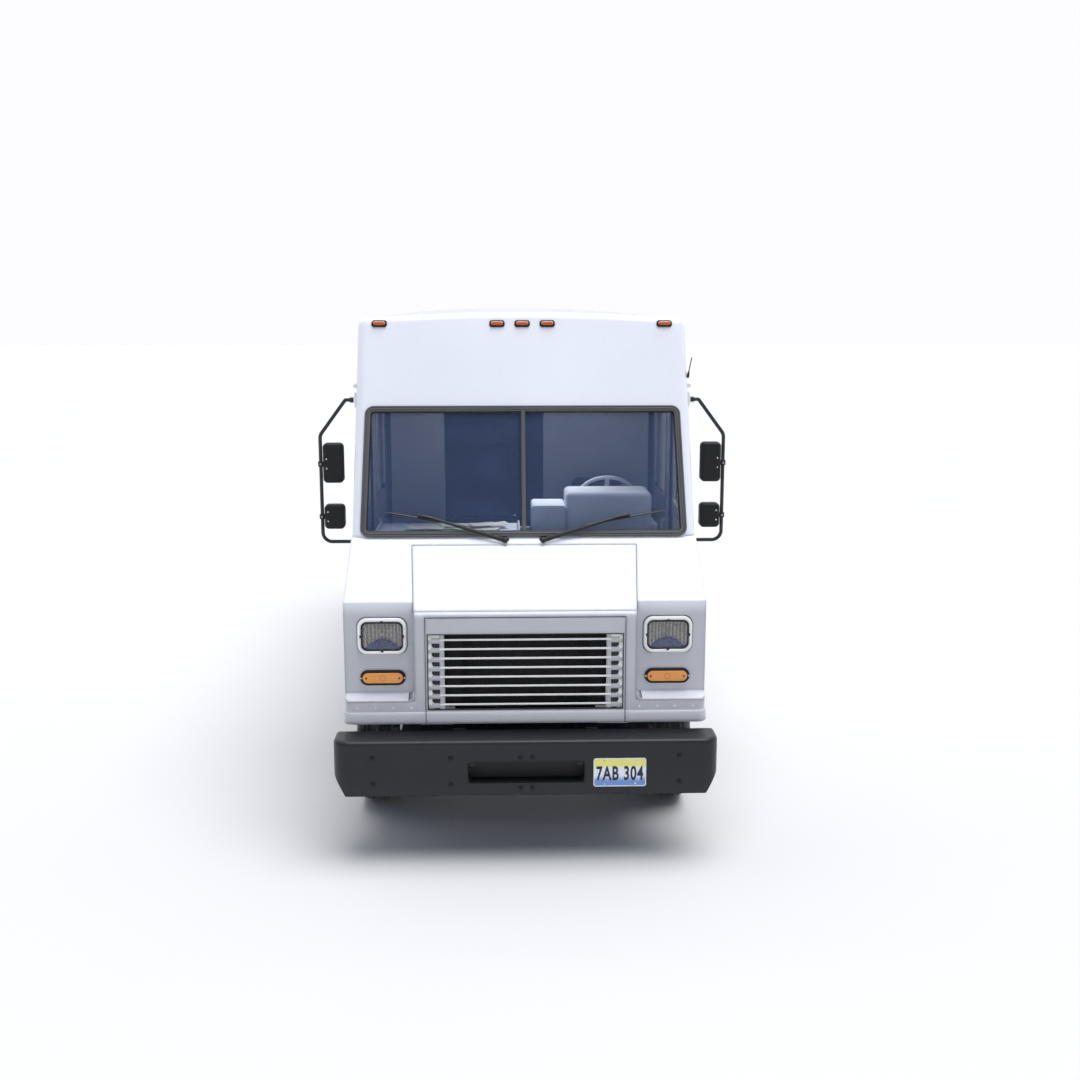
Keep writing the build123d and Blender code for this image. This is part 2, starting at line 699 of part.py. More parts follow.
# ---------------------------------------------------------------- nose
nose_rear = door_front
hood_low = -538          # front edge of the hood, down the slope from the fold
hood_high = -60
hood_half_low = pocket_inner + 2
hood_half_high = pocket_inner + 28
hood_gap = 3
grille_half = pocket_inner - 65
panel_top = 1431
taper_height = 1510
slope_at_nose = fold_height - (fold_station - nose_station) * tan(radians(hood_slope))


def nose_block(inset):
    """Nose and cowl sides as one block; the inner block is drawn in by the wall."""
    half = nose_half - inset
    run_out = 0 if inset == 0 else 20
    shift = inset / cos(radians(hood_slope)) if inset else 0
    face = nose_station + inset
    foot = nose_bottom - run_out
    head = fold_height + run_out
    slope_start = slope_at_nose - shift + inset * tan(radians(hood_slope))
    fold_at = fold_station + (run_out + shift) / tan(radians(hood_slope))
    with BuildPart() as block:
        with BuildSketch(Plane.YZ):
            with BuildLine():
                Polyline((y_at(face), foot), (y_at(face), slope_start), (y_at(fold_at), head),
                         (y_at(nose_rear + run_out), head), (y_at(nose_rear + run_out), foot), close=True)
            make_face()
        extrude(amount=half, both=True)
        with BuildSketch(cross_plane(0)):
            for side in sides.values():
                with BuildLine():
                    Polyline((side * half, taper_height),
                             (side * (half - nose_half + body_half), fold_height),
                             (side * (half - nose_half + body_half), head + 60),
                             (side * (half + 60), head + 60),
                             (side * (half + 60), taper_height), close=True)
                make_face()
        extrude(amount=-(nose_rear + 100), mode=Mode.SUBTRACT)
        if not inset:
            uprights = block.faces().sort_by(Axis.Y)[0].edges().filter_by(Axis.Z)
            front_top = block.faces().sort_by(Axis.Y)[0].edges().sort_by(Axis.Z)[-1]
            fillet(uprights + ShapeList([front_top]), 50)
    return block.part


nose_outer = nose_block(0)
nose_hollow = nose_block(cap_wall)
with BuildPart() as pocket_backing:
    mirrored_slab(pocket_inner - cap_wall, nose_half + 20, nose_station, pocket_station + cap_wall,
                  pocket_ledge - cap_wall, 1600)
with BuildPart() as hollow:
    add(nose_hollow)
    add(pocket_backing.part, mode=Mode.SUBTRACT)

lamp_x = nose_half - 225
lamp_z = 1310
ring_width = 291
ring_height = 222
glass_width = 245
glass_height = 167
can_depth = 62
signal_z = 1057
with BuildPart() as nose:
    add(nose_outer)
    add(hollow.part, mode=Mode.SUBTRACT)
    with BuildSketch(cross_plane(nose_station - 30)):
        for side in sides.values():
            with BuildLine():
                Polyline((side * pocket_inner, pocket_floor), (side * 1200, pocket_floor),
                         (side * 1200, 1640),
                         (side * pocket_inner, 1640), close=True)
            make_face()
    extrude(amount=-(pocket_station - nose_station + 30), mode=Mode.SUBTRACT)
    for side in sides.values():
        with BuildSketch(Plane.YZ.offset(side * pocket_inner)):
            with BuildLine():
                Polyline((y_at(nose_station - 1), pocket_ledge), (y_at(nose_station), pocket_ledge),
                         (y_at(pocket_station), pocket_floor), (y_at(pocket_station), pocket_floor + 5),
                         (y_at(nose_station - 1), pocket_floor + 5), close=True)
            make_face()
        extrude(amount=side * 500, mode=Mode.SUBTRACT)
    with BuildSketch(cross_plane(0)):
        with Locations((0, (nose_bottom + panel_top) / 2 - 10)):
            Rectangle(2 * grille_half + 2 * hood_gap, panel_top - nose_bottom + 20)
    extrude(amount=-(nose_station + cap_wall + 20), mode=Mode.SUBTRACT)
    with BuildSketch(hood_plane.offset(-cap_wall - 20)):
        Polygon((-hood_half_low - hood_gap, hood_low - hood_gap),
                (hood_half_low + hood_gap, hood_low - hood_gap),
                (hood_half_high + hood_gap, hood_high + hood_gap),
                (-hood_half_high - hood_gap, hood_high + hood_gap), align=None)
    extrude(amount=cap_wall + 60, mode=Mode.SUBTRACT)
    for side in sides.values():
        with BuildSketch(axle_plane(side * 880, front_axle, axle_height)):
            Circle(arch_radius)
        extrude(amount=side * 200, mode=Mode.SUBTRACT)
    with BuildSketch(cross_plane(pocket_station - 5)):
        for side in sides.values():
            with Locations((side * lamp_x, lamp_z)):
                RectangleRounded(glass_width + 12, glass_height + 12, 36)
    extrude(amount=-(cap_wall + 10), mode=Mode.SUBTRACT)
    with BuildSketch(glass_plane.offset(-60)):
        with Locations((-wiper_half, wiper_foot), (wiper_half, wiper_foot)):
            Circle(spindle)
    extrude(amount=120, mode=Mode.SUBTRACT)
nose.part.label = "nose"
export_step(nose.part, "parts/nose.step")

with BuildPart() as hood:
    with BuildSketch(hood_plane.offset(-18)):
        Polygon((-hood_half_low, hood_low), (hood_half_low, hood_low),
                (hood_half_high, hood_high), (-hood_half_high, hood_high), align=None)
    extrude(amount=18)
    fillet(hood.faces().sort_by(Axis.Z)[-1].edges(), 3)
hood.part.label = "hood"
export_step(hood.part, "parts/hood.step")

# ---------------------------------------------------------------- grille
grille_low = 877
grille_high = 1332
louvres = 8
louvre_pitch = 56
louvre_thick = 12
panel_thick = 22
strip_inner = grille_half - 107
strip_width = 24
with BuildPart() as grille_panel:
    with BuildSketch(cross_plane(nose_station)):
        with Locations((0, (nose_bottom + panel_top) / 2)):
            Rectangle(2 * grille_half, panel_top - nose_bottom)
        with Locations((0, (grille_low + grille_high) / 2)):
            Rectangle(2 * grille_half - 24, grille_high - grille_low, mode=Mode.SUBTRACT)
    extrude(amount=-panel_thick)
    mirrored_slab(strip_inner, strip_inner + strip_width, nose_station + 8,
                  nose_station + panel_thick + 26,
                  grille_low, grille_high)
    for row in range(louvres):
        z = grille_high - 34 - row * louvre_pitch
        for side in sides.values():
            slab(min(side * (strip_inner + strip_width), side * (grille_half - 12)),
                 max(side * (strip_inner + strip_width), side * (grille_half - 12)),
                 nose_station + 6, nose_station + 34, z - 20, z + 8)
grille_panel.part.label = "grille_panel"
export_step(grille_panel.part, "parts/grille_panel.step")

with BuildPart() as grille_louvres:
    for row in range(louvres):
        z = grille_high - 34 - row * louvre_pitch
        slab(-strip_inner, strip_inner, nose_station + 6, nose_station + 40, z - louvre_thick / 2,
             z + louvre_thick / 2)
    fillet(grille_louvres.edges().filter_by(Axis.X).group_by(Axis.Y)[0], 5)
grille_louvres.part.label = "grille_louvres"
export_step(grille_louvres.part, "parts/grille_louvres.step")

# ---------------------------------------------------------------- lamps
ring_proud = 22
with BuildPart() as headlamp_rings:
    for side in sides.values():
        with BuildSketch(cross_plane(pocket_station - ring_proud)):
            with Locations((side * lamp_x, lamp_z)):
                RectangleRounded(ring_width, ring_height, 50)
                RectangleRounded(glass_width, glass_height, 30, mode=Mode.SUBTRACT)
        extrude(amount=-ring_proud)
        with BuildSketch(cross_plane(pocket_station)):
            with Locations((side * lamp_x, lamp_z)):
                RectangleRounded(glass_width + 12, glass_height + 12, 36)
                RectangleRounded(glass_width, glass_height, 30, mode=Mode.SUBTRACT)
        extrude(amount=-can_depth)
        with BuildSketch(cross_plane(pocket_station + can_depth)):
            with Locations((side * lamp_x, lamp_z)):
                RectangleRounded(glass_width + 12, glass_height + 12, 36)
        extrude(amount=-4)
headlamp_rings.part.label = "headlamp_rings"
export_step(headlamp_rings.part, "parts/headlamp_rings.step")

with BuildPart() as headlamp_lenses:
    for side in sides.values():
        with BuildSketch(cross_plane(pocket_station - ring_proud + 4)):
            with Locations((side * lamp_x, lamp_z)):
                RectangleRounded(glass_width, glass_height, 30)
        extrude(amount=-8)
headlamp_lenses.part.label = "headlamp_lenses"
export_step(headlamp_lenses.part, "parts/headlamp_lenses.step")

clearance_v = up_glass(3100)
clearance_places = [(side * (body_half - 139), clearance_v) for side in sides.values()]
clearance_places += [(x, clearance_v) for x in (-160, 0, 160)]
tail_x = body_half - 47
with BuildPart() as exterior_trim:
    with BuildSketch(cross_plane(pocket_station - 9)):
        for side in sides.values():
            with Locations((side * lamp_x, signal_z)):
                SlotOverall(268, 91)
    extrude(amount=-9)
    with BuildSketch(glass_plane):
        with Locations(*clearance_places):
            RectangleRounded(98, 42, 16)
    extrude(amount=8)
    for side in sides.values():
        with BuildSketch(Plane.YZ.offset(side * nose_half)):
            with Locations((y_at(480), 1050)):
                SlotOverall(110, 50)
        extrude(amount=side * 5)
    with BuildSketch(cross_plane(box_rear)):
        for side in sides.values():
            with Locations((side * tail_x, 1120)):
                RectangleRounded(76, 150, 12)
    extrude(amount=-4)
    whip = Plane(origin=(body_half, y_at(mirror_station), 2778), z_dir=(1, 0, 0))
    with BuildSketch(whip):
        Circle(16)
    extrude(amount=10)
    with Locations((body_half + 8, y_at(mirror_station), 2790)):
        Cylinder(6, 24)
    with BuildSketch(Plane(origin=(body_half + 8, y_at(mirror_station), 2798), z_dir=(0.2, 0, 1))):
        Circle(3.2)
    extrude(amount=95)
exterior_trim.part.label = "exterior_trim"
export_step(exterior_trim.part, "parts/exterior_trim.step")

with BuildPart() as lamp_lenses:
    with BuildSketch(cross_plane(pocket_station - 20)):
        for side in sides.values():
            with Locations((side * lamp_x, signal_z)):
                SlotOverall(238, 63)
    extrude(amount=-11)
    with BuildSketch(glass_plane.offset(8)):
        with Locations(*clearance_places):
            RectangleRounded(86, 31, 12)
    extrude(amount=14)
    for side in sides.values():
        with BuildSketch(Plane.YZ.offset(side * (nose_half + 5))):
            with Locations((y_at(480), 1050)):
                SlotOverall(94, 36)
        extrude(amount=side * 8)
    with BuildSketch(cross_plane(box_rear + 4)):
        for side in sides.values():
            with Locations((side * tail_x, 1120)):
                RectangleRounded(68, 142, 10)
    extrude(amount=-16)
    with BuildSketch(cross_plane(box_rear)):
        with Locations((-160, 3090), (0, 3090), (160, 3090), (-908, 3070), (908, 3070)):
            RectangleRounded(86, 31, 12)
    extrude(amount=-18)
lamp_lenses.part.label = "lamp_lenses"
export_step(lamp_lenses.part, "parts/lamp_lenses.step")

# ---------------------------------------------------------------- wipers
arm_level = 24           # the arm's underside, off the windshield wall
clip_reach = 480
clip_rise = 124 - wiper_foot
blade_in = (-332, 64)
blade_out = (-864, 162)
blade_level = 0.6 - (glass_depth - pane)
for name, side in sides.items():
    clip = (side * (wiper_half + clip_reach), wiper_foot + clip_rise)
    pivot = (side * wiper_half, wiper_foot)
    arm_length = hypot(clip_reach, clip_rise)
    arm_turn = degrees(atan2(clip_rise, side * clip_reach))
    blade_from = (-side * blade_in[0], blade_in[1])
    blade_to = (-side * blade_out[0], blade_out[1])
    blade_mid = ((blade_from[0] + blade_to[0]) / 2, (blade_from[1] + blade_to[1]) / 2)
    blade_length = hypot(blade_to[0] - blade_from[0], blade_to[1] - blade_from[1])
    blade_turn = degrees(atan2(blade_to[1] - blade_from[1], blade_to[0] - blade_from[0]))
    with BuildPart() as wiper:
        with BuildSketch(glass_plane.offset(arm_level)):
            with Locations(pivot):
                Circle(17)
            with Locations(Location(((pivot[0] + clip[0]) / 2, (pivot[1] + clip[1]) / 2), arm_turn)):
                SlotOverall(arm_length + 16, 16)
        extrude(amount=9)
        with BuildSketch(glass_plane.offset(arm_level)):
            with Locations(pivot):
                Circle(17)
        extrude(amount=16)
        with BuildSketch(glass_plane.offset(arm_level - 10)):
            with Locations(clip):
                RectangleRounded(34, 18, 5, rotation=blade_turn)
        extrude(amount=10)
        with BuildSketch(glass_plane.offset(blade_level + 8)):
            with Locations(Location(blade_mid, blade_turn)):
                Rectangle(blade_length, 11)
        extrude(amount=arm_level - 10 - blade_level - 8)
        with BuildSketch(glass_plane.offset(blade_level)):
            with Locations(Location(blade_mid, blade_turn)):
                Rectangle(blade_length, 4)
        extrude(amount=8)
        with BuildSketch(glass_plane.offset(arm_level - 10)):
            with Locations(pivot):
                Circle(spindle + fit)
        extrude(amount=60, mode=Mode.SUBTRACT)
    wiper.part.label = f"wiper_{name}"
    export_step(wiper.part, f"parts/wiper_{name}.step")

# ---------------------------------------------------------------- mirrors
fold_x = body_half + 35
tube = 11.5
tube_x = body_half + 241
mount_top = 2628
mount_low = 1717
eye_half = 13
fold_pin = 6
head_inner = body_half + 95
head_outer = body_half + 225
heads = {"upper": (2101, 2355, 2221), "lower": (1803, 1961, 1881)}
clamp_half = 15
clamp_radius = 18
for name, side in sides.items():
    with BuildPart() as mirror_arm:
        with BuildLine() as tube_route:
            FilletPolyline((side * (fold_x + 8), y_at(mirror_station), mount_top),
                           (side * (fold_x + 40), y_at(mirror_station), mount_top),
                           (side * tube_x, y_at(mirror_station), 2405),
                           (side * tube_x, y_at(mirror_station), mount_low),
                           (side * (fold_x + 8), y_at(mirror_station), mount_low),
                           radius=[16, 60, 60])
        with BuildSketch(Plane(origin=tube_route.wire() @ 0, z_dir=tube_route.wire() % 0)):
            Circle(tube)
        sweep()
        for z in (mount_top, mount_low):
            with Locations((side * fold_x, y_at(mirror_station), z)):
                Cylinder(13, 2 * eye_half)
                Cylinder(fold_pin + fit, 2 * eye_half + 20, mode=Mode.SUBTRACT)
    mirror_arm.part.label = f"mirror_arm_{name}"
    export_step(mirror_arm.part, f"parts/mirror_arm_{name}.step")
    for place, (head_low, head_high, clamp_z) in heads.items():
        with BuildPart() as head:
            slab(min(side * head_inner, side * head_outer), max(side * head_inner, side * head_outer),
                 mirror_station - 38, mirror_station + 30, head_low, head_high)
            fillet(head.edges().filter_by(Axis.Y), 28)
            fillet(head.faces().sort_by(Axis.Y)[0].edges(), 22)
        with BuildPart() as clamp:
            with Locations((side * tube_x, y_at(mirror_station), clamp_z)):
                Cylinder(clamp_radius, 2 * clamp_half)
            slab(min(side * (head_outer - 1), side * tube_x), max(side * (head_outer - 1), side * tube_x),
                 mirror_station - 16, mirror_station + 16, clamp_z - clamp_half, clamp_z + clamp_half)
            with Locations((side * tube_x, y_at(mirror_station), clamp_z)):
                Cylinder(tube + fit, 2 * clamp_half + 4, mode=Mode.SUBTRACT)
            with BuildSketch(cross_plane(mirror_station + 30)):
                with Locations((side * (head_inner + head_outer) / 2, (head_low + head_high) / 2)):
                    RectangleRounded(head_outer - head_inner - 14, head_high - head_low - 14, 22)
            extrude(amount=-3)
        with BuildPart() as mirror_head:
            add(head.part)
            add(clamp.part)
        mirror_head.part.label = f"mirror_{place}_{name}"
        export_step(mirror_head.part, f"parts/mirror_{place}_{name}.step")

# ---------------------------------------------------------------- tracks, trim, mirror mounts
track_mid = body_half - 49
track_half = 22
track_front = door_front
track_rear = door_rear + door_travel + 20
ear = 6
fittings = both_sides(track_mid - 30, track_mid - 22, track_front, track_rear, floor_top, floor_top + 18)
fittings += both_sides(body_half, body_half + 20, mirror_station - 15, track_rear, 2704, 2724)
for z in (1180, 1320):
    fittings += both_sides(body_half, body_half + 12, door_rear + 60, box_rear - 20, z, z + 44)
for side in sides.values():
    with BuildPart() as track:
        with BuildSketch(cross_plane(track_front)):
            with Locations((side * track_mid, 2726)):
                Rectangle(2 * track_half, 44)
            with Locations((side * track_mid, 2722)):
                Rectangle(2 * track_half - 8, 44, mode=Mode.SUBTRACT)
        extrude(amount=-(track_rear - track_front))
    fittings.append(track.part)
    for z in (mount_top, mount_low):
        face = side * (body_half + 12)
        root = side * (body_half - 12)
        with BuildPart() as mount:
            slab(min(root, face), max(root, face), mirror_station - 40, mirror_station + 40, z - 45,
                 z + 45)
            for up in (-1, 1):
                middle = z + up * (eye_half + 1 + ear / 2)
                slab(min(face, side * fold_x), max(face, side * fold_x), mirror_station - 13,
                     mirror_station + 13,
                     middle - ear / 2, middle + ear / 2)
                with Locations((side * fold_x, y_at(mirror_station), middle)):
                    Cylinder(13, ear)
            with Locations((side * fold_x, y_at(mirror_station), z)):
                Cylinder(fold_pin, 2 * eye_half + 2 + 2 * ear)
            add(nose_outer, mode=Mode.SUBTRACT)
            add(cap_outer, mode=Mode.SUBTRACT)
        fittings.append(mount.part)
as_node("door_tracks", fittings)

# ---------------------------------------------------------------- cab doors
door_sheet = 28
door_mid = track_mid
door_foot = 937
for name, side in sides.items():
    inner = side * (door_mid - door_sheet / 2)
    outer = side * (door_mid + door_sheet / 2)
    low_x = min(inner, outer)
    high_x = max(inner, outer)
    window_mid = (door_front + door_rear) / 2
    with BuildPart() as door_panel:
        slab(low_x, high_x, door_front - 5, door_rear + 15, door_foot, door_head - 4)
        with BuildSketch(Plane.YZ.offset(low_x - 5)):
            with Locations((y_at(window_mid), 2230)):
                RectangleRounded(600, 640, 40)
        extrude(amount=door_sheet + 10, mode=Mode.SUBTRACT)
    with BuildPart() as door_fittings:
        with BuildSketch(Plane.YZ.offset(low_x + door_sheet / 2 - 3)):
            with Locations((y_at(window_mid), 2230)):
                RectangleRounded(600, 640, 40)
        extrude(amount=6)
        for station in (door_front + 130, door_rear - 130):
            slab(side * door_mid - 5, side * door_mid + 5, station - 20, station + 20, door_head - 4, 2730)
            with Locations(Location((side * door_mid, y_at(station), 2723), (0, 90, 0))):
                Cylinder(17, 26)
        slab(min(inner, inner - side * 26), max(inner, inner - side * 26), door_front + 40,
             door_front + 62, 1560, 1580)
        slab(min(inner, inner - side * 26), max(inner, inner - side * 26), door_front + 40,
             door_front + 62, 1760, 1780)
        slab(min(inner - side * 14, inner - side * 30), max(inner - side * 14, inner - side * 30),
             door_front + 40, door_front + 62, 1560, 1780)
    as_node(f"cab_door_{name}", [door_panel.part, door_fittings.part])

# ---------------------------------------------------------------- bulkhead
doorway_left = -559
doorway_right = 172
doorway_head = 2900
bulkhead_half = body_half - 92
bulkhead_back = bulkhead_station + wall
with BuildPart() as slide_rail:
    slab(doorway_left, bulkhead_half, bulkhead_back, bulkhead_back + 40, 2920, 2965)
    slab(doorway_left - 5, bulkhead_half + 5, bulkhead_back + 6, bulkhead_back + 34, 2919, 2959,
         mode=Mode.SUBTRACT)
as_node("bulkhead",
        [block(-bulkhead_half, doorway_left, bulkhead_station, bulkhead_back, floor_top, doorway_head),
         block(doorway_right, bulkhead_half, bulkhead_station, bulkhead_back, floor_top, doorway_head),
         block(-bulkhead_half, bulkhead_half, bulkhead_station, bulkhead_back, doorway_head, 3100),
         slide_rail.part])

slide_width = doorway_right - doorway_left + 20
with BuildPart() as bulkhead_door:
    slab(doorway_right + 3, doorway_right + 3 + slide_width, bulkhead_back + 8, bulkhead_back + 32,
         floor_top + 6, doorway_head + 15)
    for x in (doorway_right + 120, doorway_right + slide_width - 120):
        slab(x - 20, x + 20, bulkhead_back + 16, bulkhead_back + 24, doorway_head + 15, 2950)
    slab(doorway_right + 30, doorway_right + 50, bulkhead_back + 32, bulkhead_back + 56, 1850, 2050)
bulkhead_door.part.label = "bulkhead_door"
export_step(bulkhead_door.part, "parts/bulkhead_door.step")

# ---------------------------------------------------------------- rear doors, bumper
hinge_x = body_half - 7
hinge_station = box_rear + 36
hinge_radius = 10
hinge_pin = 5
hinge_heights = (1250, 1950, 2700)
rear_sheet = 30
rear_low = 935
rear_high = 2990
door_edge = body_half - 97
with BuildPart() as rear_bumper:
    slab(-1000, 1000, box_rear - 60, length - bolt_dome, 500, 508)
    slab(-1000, 1000, length - bolt_dome - 8, length - bolt_dome, 430, 500)
    slab(-940, 940, box_rear - 60, length - bolt_dome - 8, 470, 500)
    mirrored_slab(300, 380, frame_rear + 62, box_rear, 508, 700)
    for side in sides.values():
        for z in hinge_heights:
            with Locations((side * hinge_x, y_at(hinge_station), z + 20)):
                Cylinder(hinge_radius, 40)
            slab(min(side * (hinge_x - 8), side * (hinge_x + 6)),
                 max(side * (hinge_x - 8), side * (hinge_x + 6)),
                 box_rear, hinge_station, z, z + 40)
            with Locations((side * hinge_x, y_at(hinge_station), z + 41)):
                Cylinder(hinge_pin, 80)
rear_bumper.part.label = "rear_bumper"
export_step(rear_bumper.part, "parts/rear_bumper.step")

for name, side in sides.items():
    with BuildPart() as rear_panel:
        slab(min(side * 4, side * door_edge), max(side * 4, side * door_edge),
             box_rear + 3, box_rear + 3 + rear_sheet,
             rear_low, rear_high)
        with BuildSketch(cross_plane(box_rear)):
            with Locations((side * 480, 2300)):
                RectangleRounded(460, 420, 40)
        extrude(amount=-(rear_sheet + 10), mode=Mode.SUBTRACT)
    with BuildPart() as rear_fittings:
        with BuildSketch(cross_plane(box_rear + 15)):
            with Locations((side * 480, 2300)):
                RectangleRounded(460, 420, 40)
        extrude(amount=-6)
        face = box_rear + 3 + rear_sheet
        for z in hinge_heights:
            slab(min(side * (hinge_x - 180), side * (hinge_x - 2)),
                 max(side * (hinge_x - 180), side * (hinge_x - 2)),
                 face, face + 5, z + 41, z + 81)
            with Locations((side * hinge_x, y_at(hinge_station), z + 61)):
                Cylinder(hinge_radius, 40)
                Cylinder(hinge_pin + fit, 44, mode=Mode.SUBTRACT)
        slab(side * 60 - 9, side * 60 + 9, face, face + 18, rear_low + 60, rear_high - 60)
        slab(min(side * 60, side * 210), max(side * 60, side * 210), face + 18, face + 30, 1480, 1510)
    as_node(f"rear_door_{name}", [rear_panel.part, rear_fittings.part])

# ---------------------------------------------------------------- dash, steering
dash_station = 1150
pod_low = 267
pod_high = 807
column_x = 555
wheel_station = 1352
wheel_z = 1934
wheel_tilt = 60
wheel_rim = 203
pedal_station = 1195
pedal_z = 1475
pedal_pin = 8
with BuildPart() as dash_pod:
    slab(pod_low, pod_high, 880, dash_station + 25, 1740, 2063)
    fillet(dash_pod.edges().filter_by(Axis.Y).group_by(Axis.Z)[-1], 34)
    fillet(dash_pod.faces().sort_by(Axis.Y)[0].edges().group_by(Axis.Z)[-1], 30)
with BuildPart() as dash_side:
    slab(51, pod_low, 880, dash_station + 25, 1740, 1981)
    fillet(dash_side.edges().filter_by(Axis.Y).group_by(Axis.Z)[-1], 22)
    slab(pod_high, 843, 880, dash_station + 25, 1740, 1860)
dash_back = dash_station + 25
dash_lower = [block(37 - body_half, body_half - 37, dash_station, dash_back, cover_top, 1740),
              block(-909, -33, 760, dash_back, 1812, 1824),
              block(-909, -33, 748, 760, 1812, 1842),
              block(-909, -33, dash_station, dash_back, 1740, 1812),
              block(-921, -909, 748, dash_back, 1812, 1842),
              block(-33, -21, 748, dash_back, 1812, 1842),
              block(-21, 51, dash_station, dash_back, 1740, 1800)]
wheel_normal = (0, cos(radians(90 - wheel_tilt)), sin(radians(90 - wheel_tilt)))
wheel_plane = Plane(origin=(column_x, y_at(wheel_station), wheel_z), x_dir=(1, 0, 0), z_dir=wheel_normal)
shaft = 12
with BuildPart() as column:
    with BuildSketch(wheel_plane.offset(-24)):
        Circle(34)
    extrude(amount=-190)
    with BuildSketch(wheel_plane.offset(-24)):
        Circle(shaft)
    extrude(amount=64)
    slab(column_x - 60, column_x + 60, 1000, dash_back, 1600, 2000, mode=Mode.SUBTRACT)
with BuildPart() as pedal_box:
    for x in (450, 580, 730):
        slab(x - 5, x + 5, dash_station, pedal_station + 15, pedal_z - 15, cover_top)
        slab(x - 5, x + 5, dash_station + 25, pedal_station + 15, cover_top, 1560)
    with Locations(Location((590, y_at(pedal_station), pedal_z), (0, 90, 0))):
        Cylinder(pedal_pin, 290)
lever_x = 255
lever_station = 1300
lever_z = cover_top + 32
with BuildPart() as lever_bracket:
    for x in (lever_x - 22, lever_x + 22):
        slab(x - 4, x + 4, lever_station - 16, lever_station + 16, cover_top, lever_z + 16)
    with Locations(Location((lever_x, y_at(lever_station), lever_z), (0, 90, 0))):
        Cylinder(pedal_pin, 52)
as_node("dashboard", [dash_pod.part, dash_side.part] + dash_lower
        + [column.part, pedal_box.part, lever_bracket.part])

with BuildPart() as steering_wheel:
    with BuildSketch(Plane(origin=wheel_plane.origin, x_dir=wheel_plane.x_dir, z_dir=wheel_plane.y_dir)):
        with Locations((wheel_rim, 0)):
            Circle(12)
    revolve(axis=Axis(wheel_plane.origin, wheel_plane.z_dir))
    with BuildSketch(wheel_plane.offset(-22)):
        Circle(42)
    extrude(amount=40)
    with BuildSketch(wheel_plane.offset(-6)):
        with PolarLocations(110, 3, start_angle=-90):
            Rectangle(180, 28)
    extrude(amount=10)
    with BuildSketch(wheel_plane.offset(-30)):
        Circle(shaft + fit)
    extrude(amount=60, mode=Mode.SUBTRACT)
steering_wheel.part.label = "steering_wheel"
export_step(steering_wheel.part, "parts/steering_wheel.step")

for name, x, pad_half in (("brake_pedal", 515, 45), ("accelerator", 660, 32)):
    with BuildPart() as pedal:
        arm_foot = (pedal_station + 60, 1120)
        with Locations(Location((x, y_at(pedal_station), pedal_z), (0, 90, 0))):
            Cylinder(18, 40)
        with BuildSketch(Plane.YZ.offset(x - 7)):
            with BuildLine():
                Polyline((y_at(pedal_station) - 10, pedal_z), (y_at(pedal_station) + 10, pedal_z),
                         (y_at(arm_foot[0]) + 8, arm_foot[1]),
                         (y_at(arm_foot[0]) - 8, arm_foot[1]), close=True)
            make_face()
        extrude(amount=14)
        slab(x - pad_half, x + pad_half, arm_foot[0] - 8, arm_foot[0] + 10, arm_foot[1] - 70,
             arm_foot[1] + 2)
        with Locations(Location((x, y_at(pedal_station), pedal_z), (0, 90, 0))):
            Cylinder(pedal_pin + fit, 50, mode=Mode.SUBTRACT)
    pedal.part.label = name
    export_step(pedal.part, f"parts/{name}.step")

with BuildPart() as shift_lever:
    with Locations(Location((lever_x, y_at(lever_station), lever_z), (0, 90, 0))):
        Cylinder(14, 30)
    with Locations((lever_x, y_at(lever_station), lever_z + 130)):
        Cylinder(7, 250)
    with Locations((lever_x, y_at(lever_station), lever_z + 265)):
        Sphere(24)
    with Locations(Location((lever_x, y_at(lever_station), lever_z), (0, 90, 0))):
        Cylinder(pedal_pin + fit, 50, mode=Mode.SUBTRACT)
shift_lever.part.label = "shift_lever"
export_step(shift_lever.part, "parts/shift_lever.step")

# ---------------------------------------------------------------- driver's seat
seat_x = 555
seat_front = 1700
pan_top = 1240
cushion_height = 110
recline_station = 2205
recline_z = 1270
with BuildPart() as seat_base:
    slab(seat_x - 150, seat_x + 150, 1780, 2100, floor_top, 1180)
    fillet(seat_base.edges().filter_by(Axis.Z), 20)
    for x in (seat_x - 160, seat_x + 140):
        slab(x, x + 20, 1700, 2180, 1180, 1200)
seat_base.part.label = "seat_base"
export_step(seat_base.part, "parts/seat_base.step")

with BuildPart() as seat_pan:
    slab(seat_x - 210, seat_x + 210, seat_front + 10, 2160, 1218, pan_top)
    for x in (seat_x - 160, seat_x + 140):
        slab(x - 2, x + 22, 1740, 2140, 1200.3, 1218)
    for x in (seat_x - 228, seat_x + 216):
        slab(x, x + 12, 2080, recline_station + 18, 1218, recline_z + 20)
        slab(min(x, seat_x), max(x, seat_x), 2090, 2150, 1218, pan_top)
    with Locations(Location((seat_x, y_at(recline_station), recline_z), (0, 90, 0))):
        Cylinder(pedal_pin, 456)
with BuildPart() as cushion:
    slab(seat_x - 212, seat_x + 212, seat_front, 2150, pan_top, pan_top + cushion_height)
    fillet(cushion.edges(), 24)
as_node("seat_cushion", [seat_pan.part, cushion.part])

with BuildPart() as seat_back:
    slab(seat_x - 205, seat_x + 205, 2165, 2245, 1360, 2010)
    fillet(seat_back.edges(), 26)
    with Locations(Location((seat_x, y_at(recline_station), recline_z), (0, 90, 0))):
        Cylinder(18, 400)
    for x in (seat_x - 180, seat_x + 150):
        slab(x, x + 30, recline_station - 8, recline_station + 8, recline_z, 1380)
    with Locations(Location((seat_x, y_at(recline_station), recline_z), (0, 90, 0))):
        Cylinder(pedal_pin + fit, 420, mode=Mode.SUBTRACT)
seat_back.part.label = "seat_back"
export_step(seat_back.part, "parts/seat_back.step")
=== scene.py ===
"""Finishing of a mail service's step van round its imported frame.

Metres, +Z up, the front faces -Y and the driver sits on the +X side. Pieces are
surfaces placed from the boxes of the frame's nodes and from stations behind the
bumper's face.
"""
import json
import math

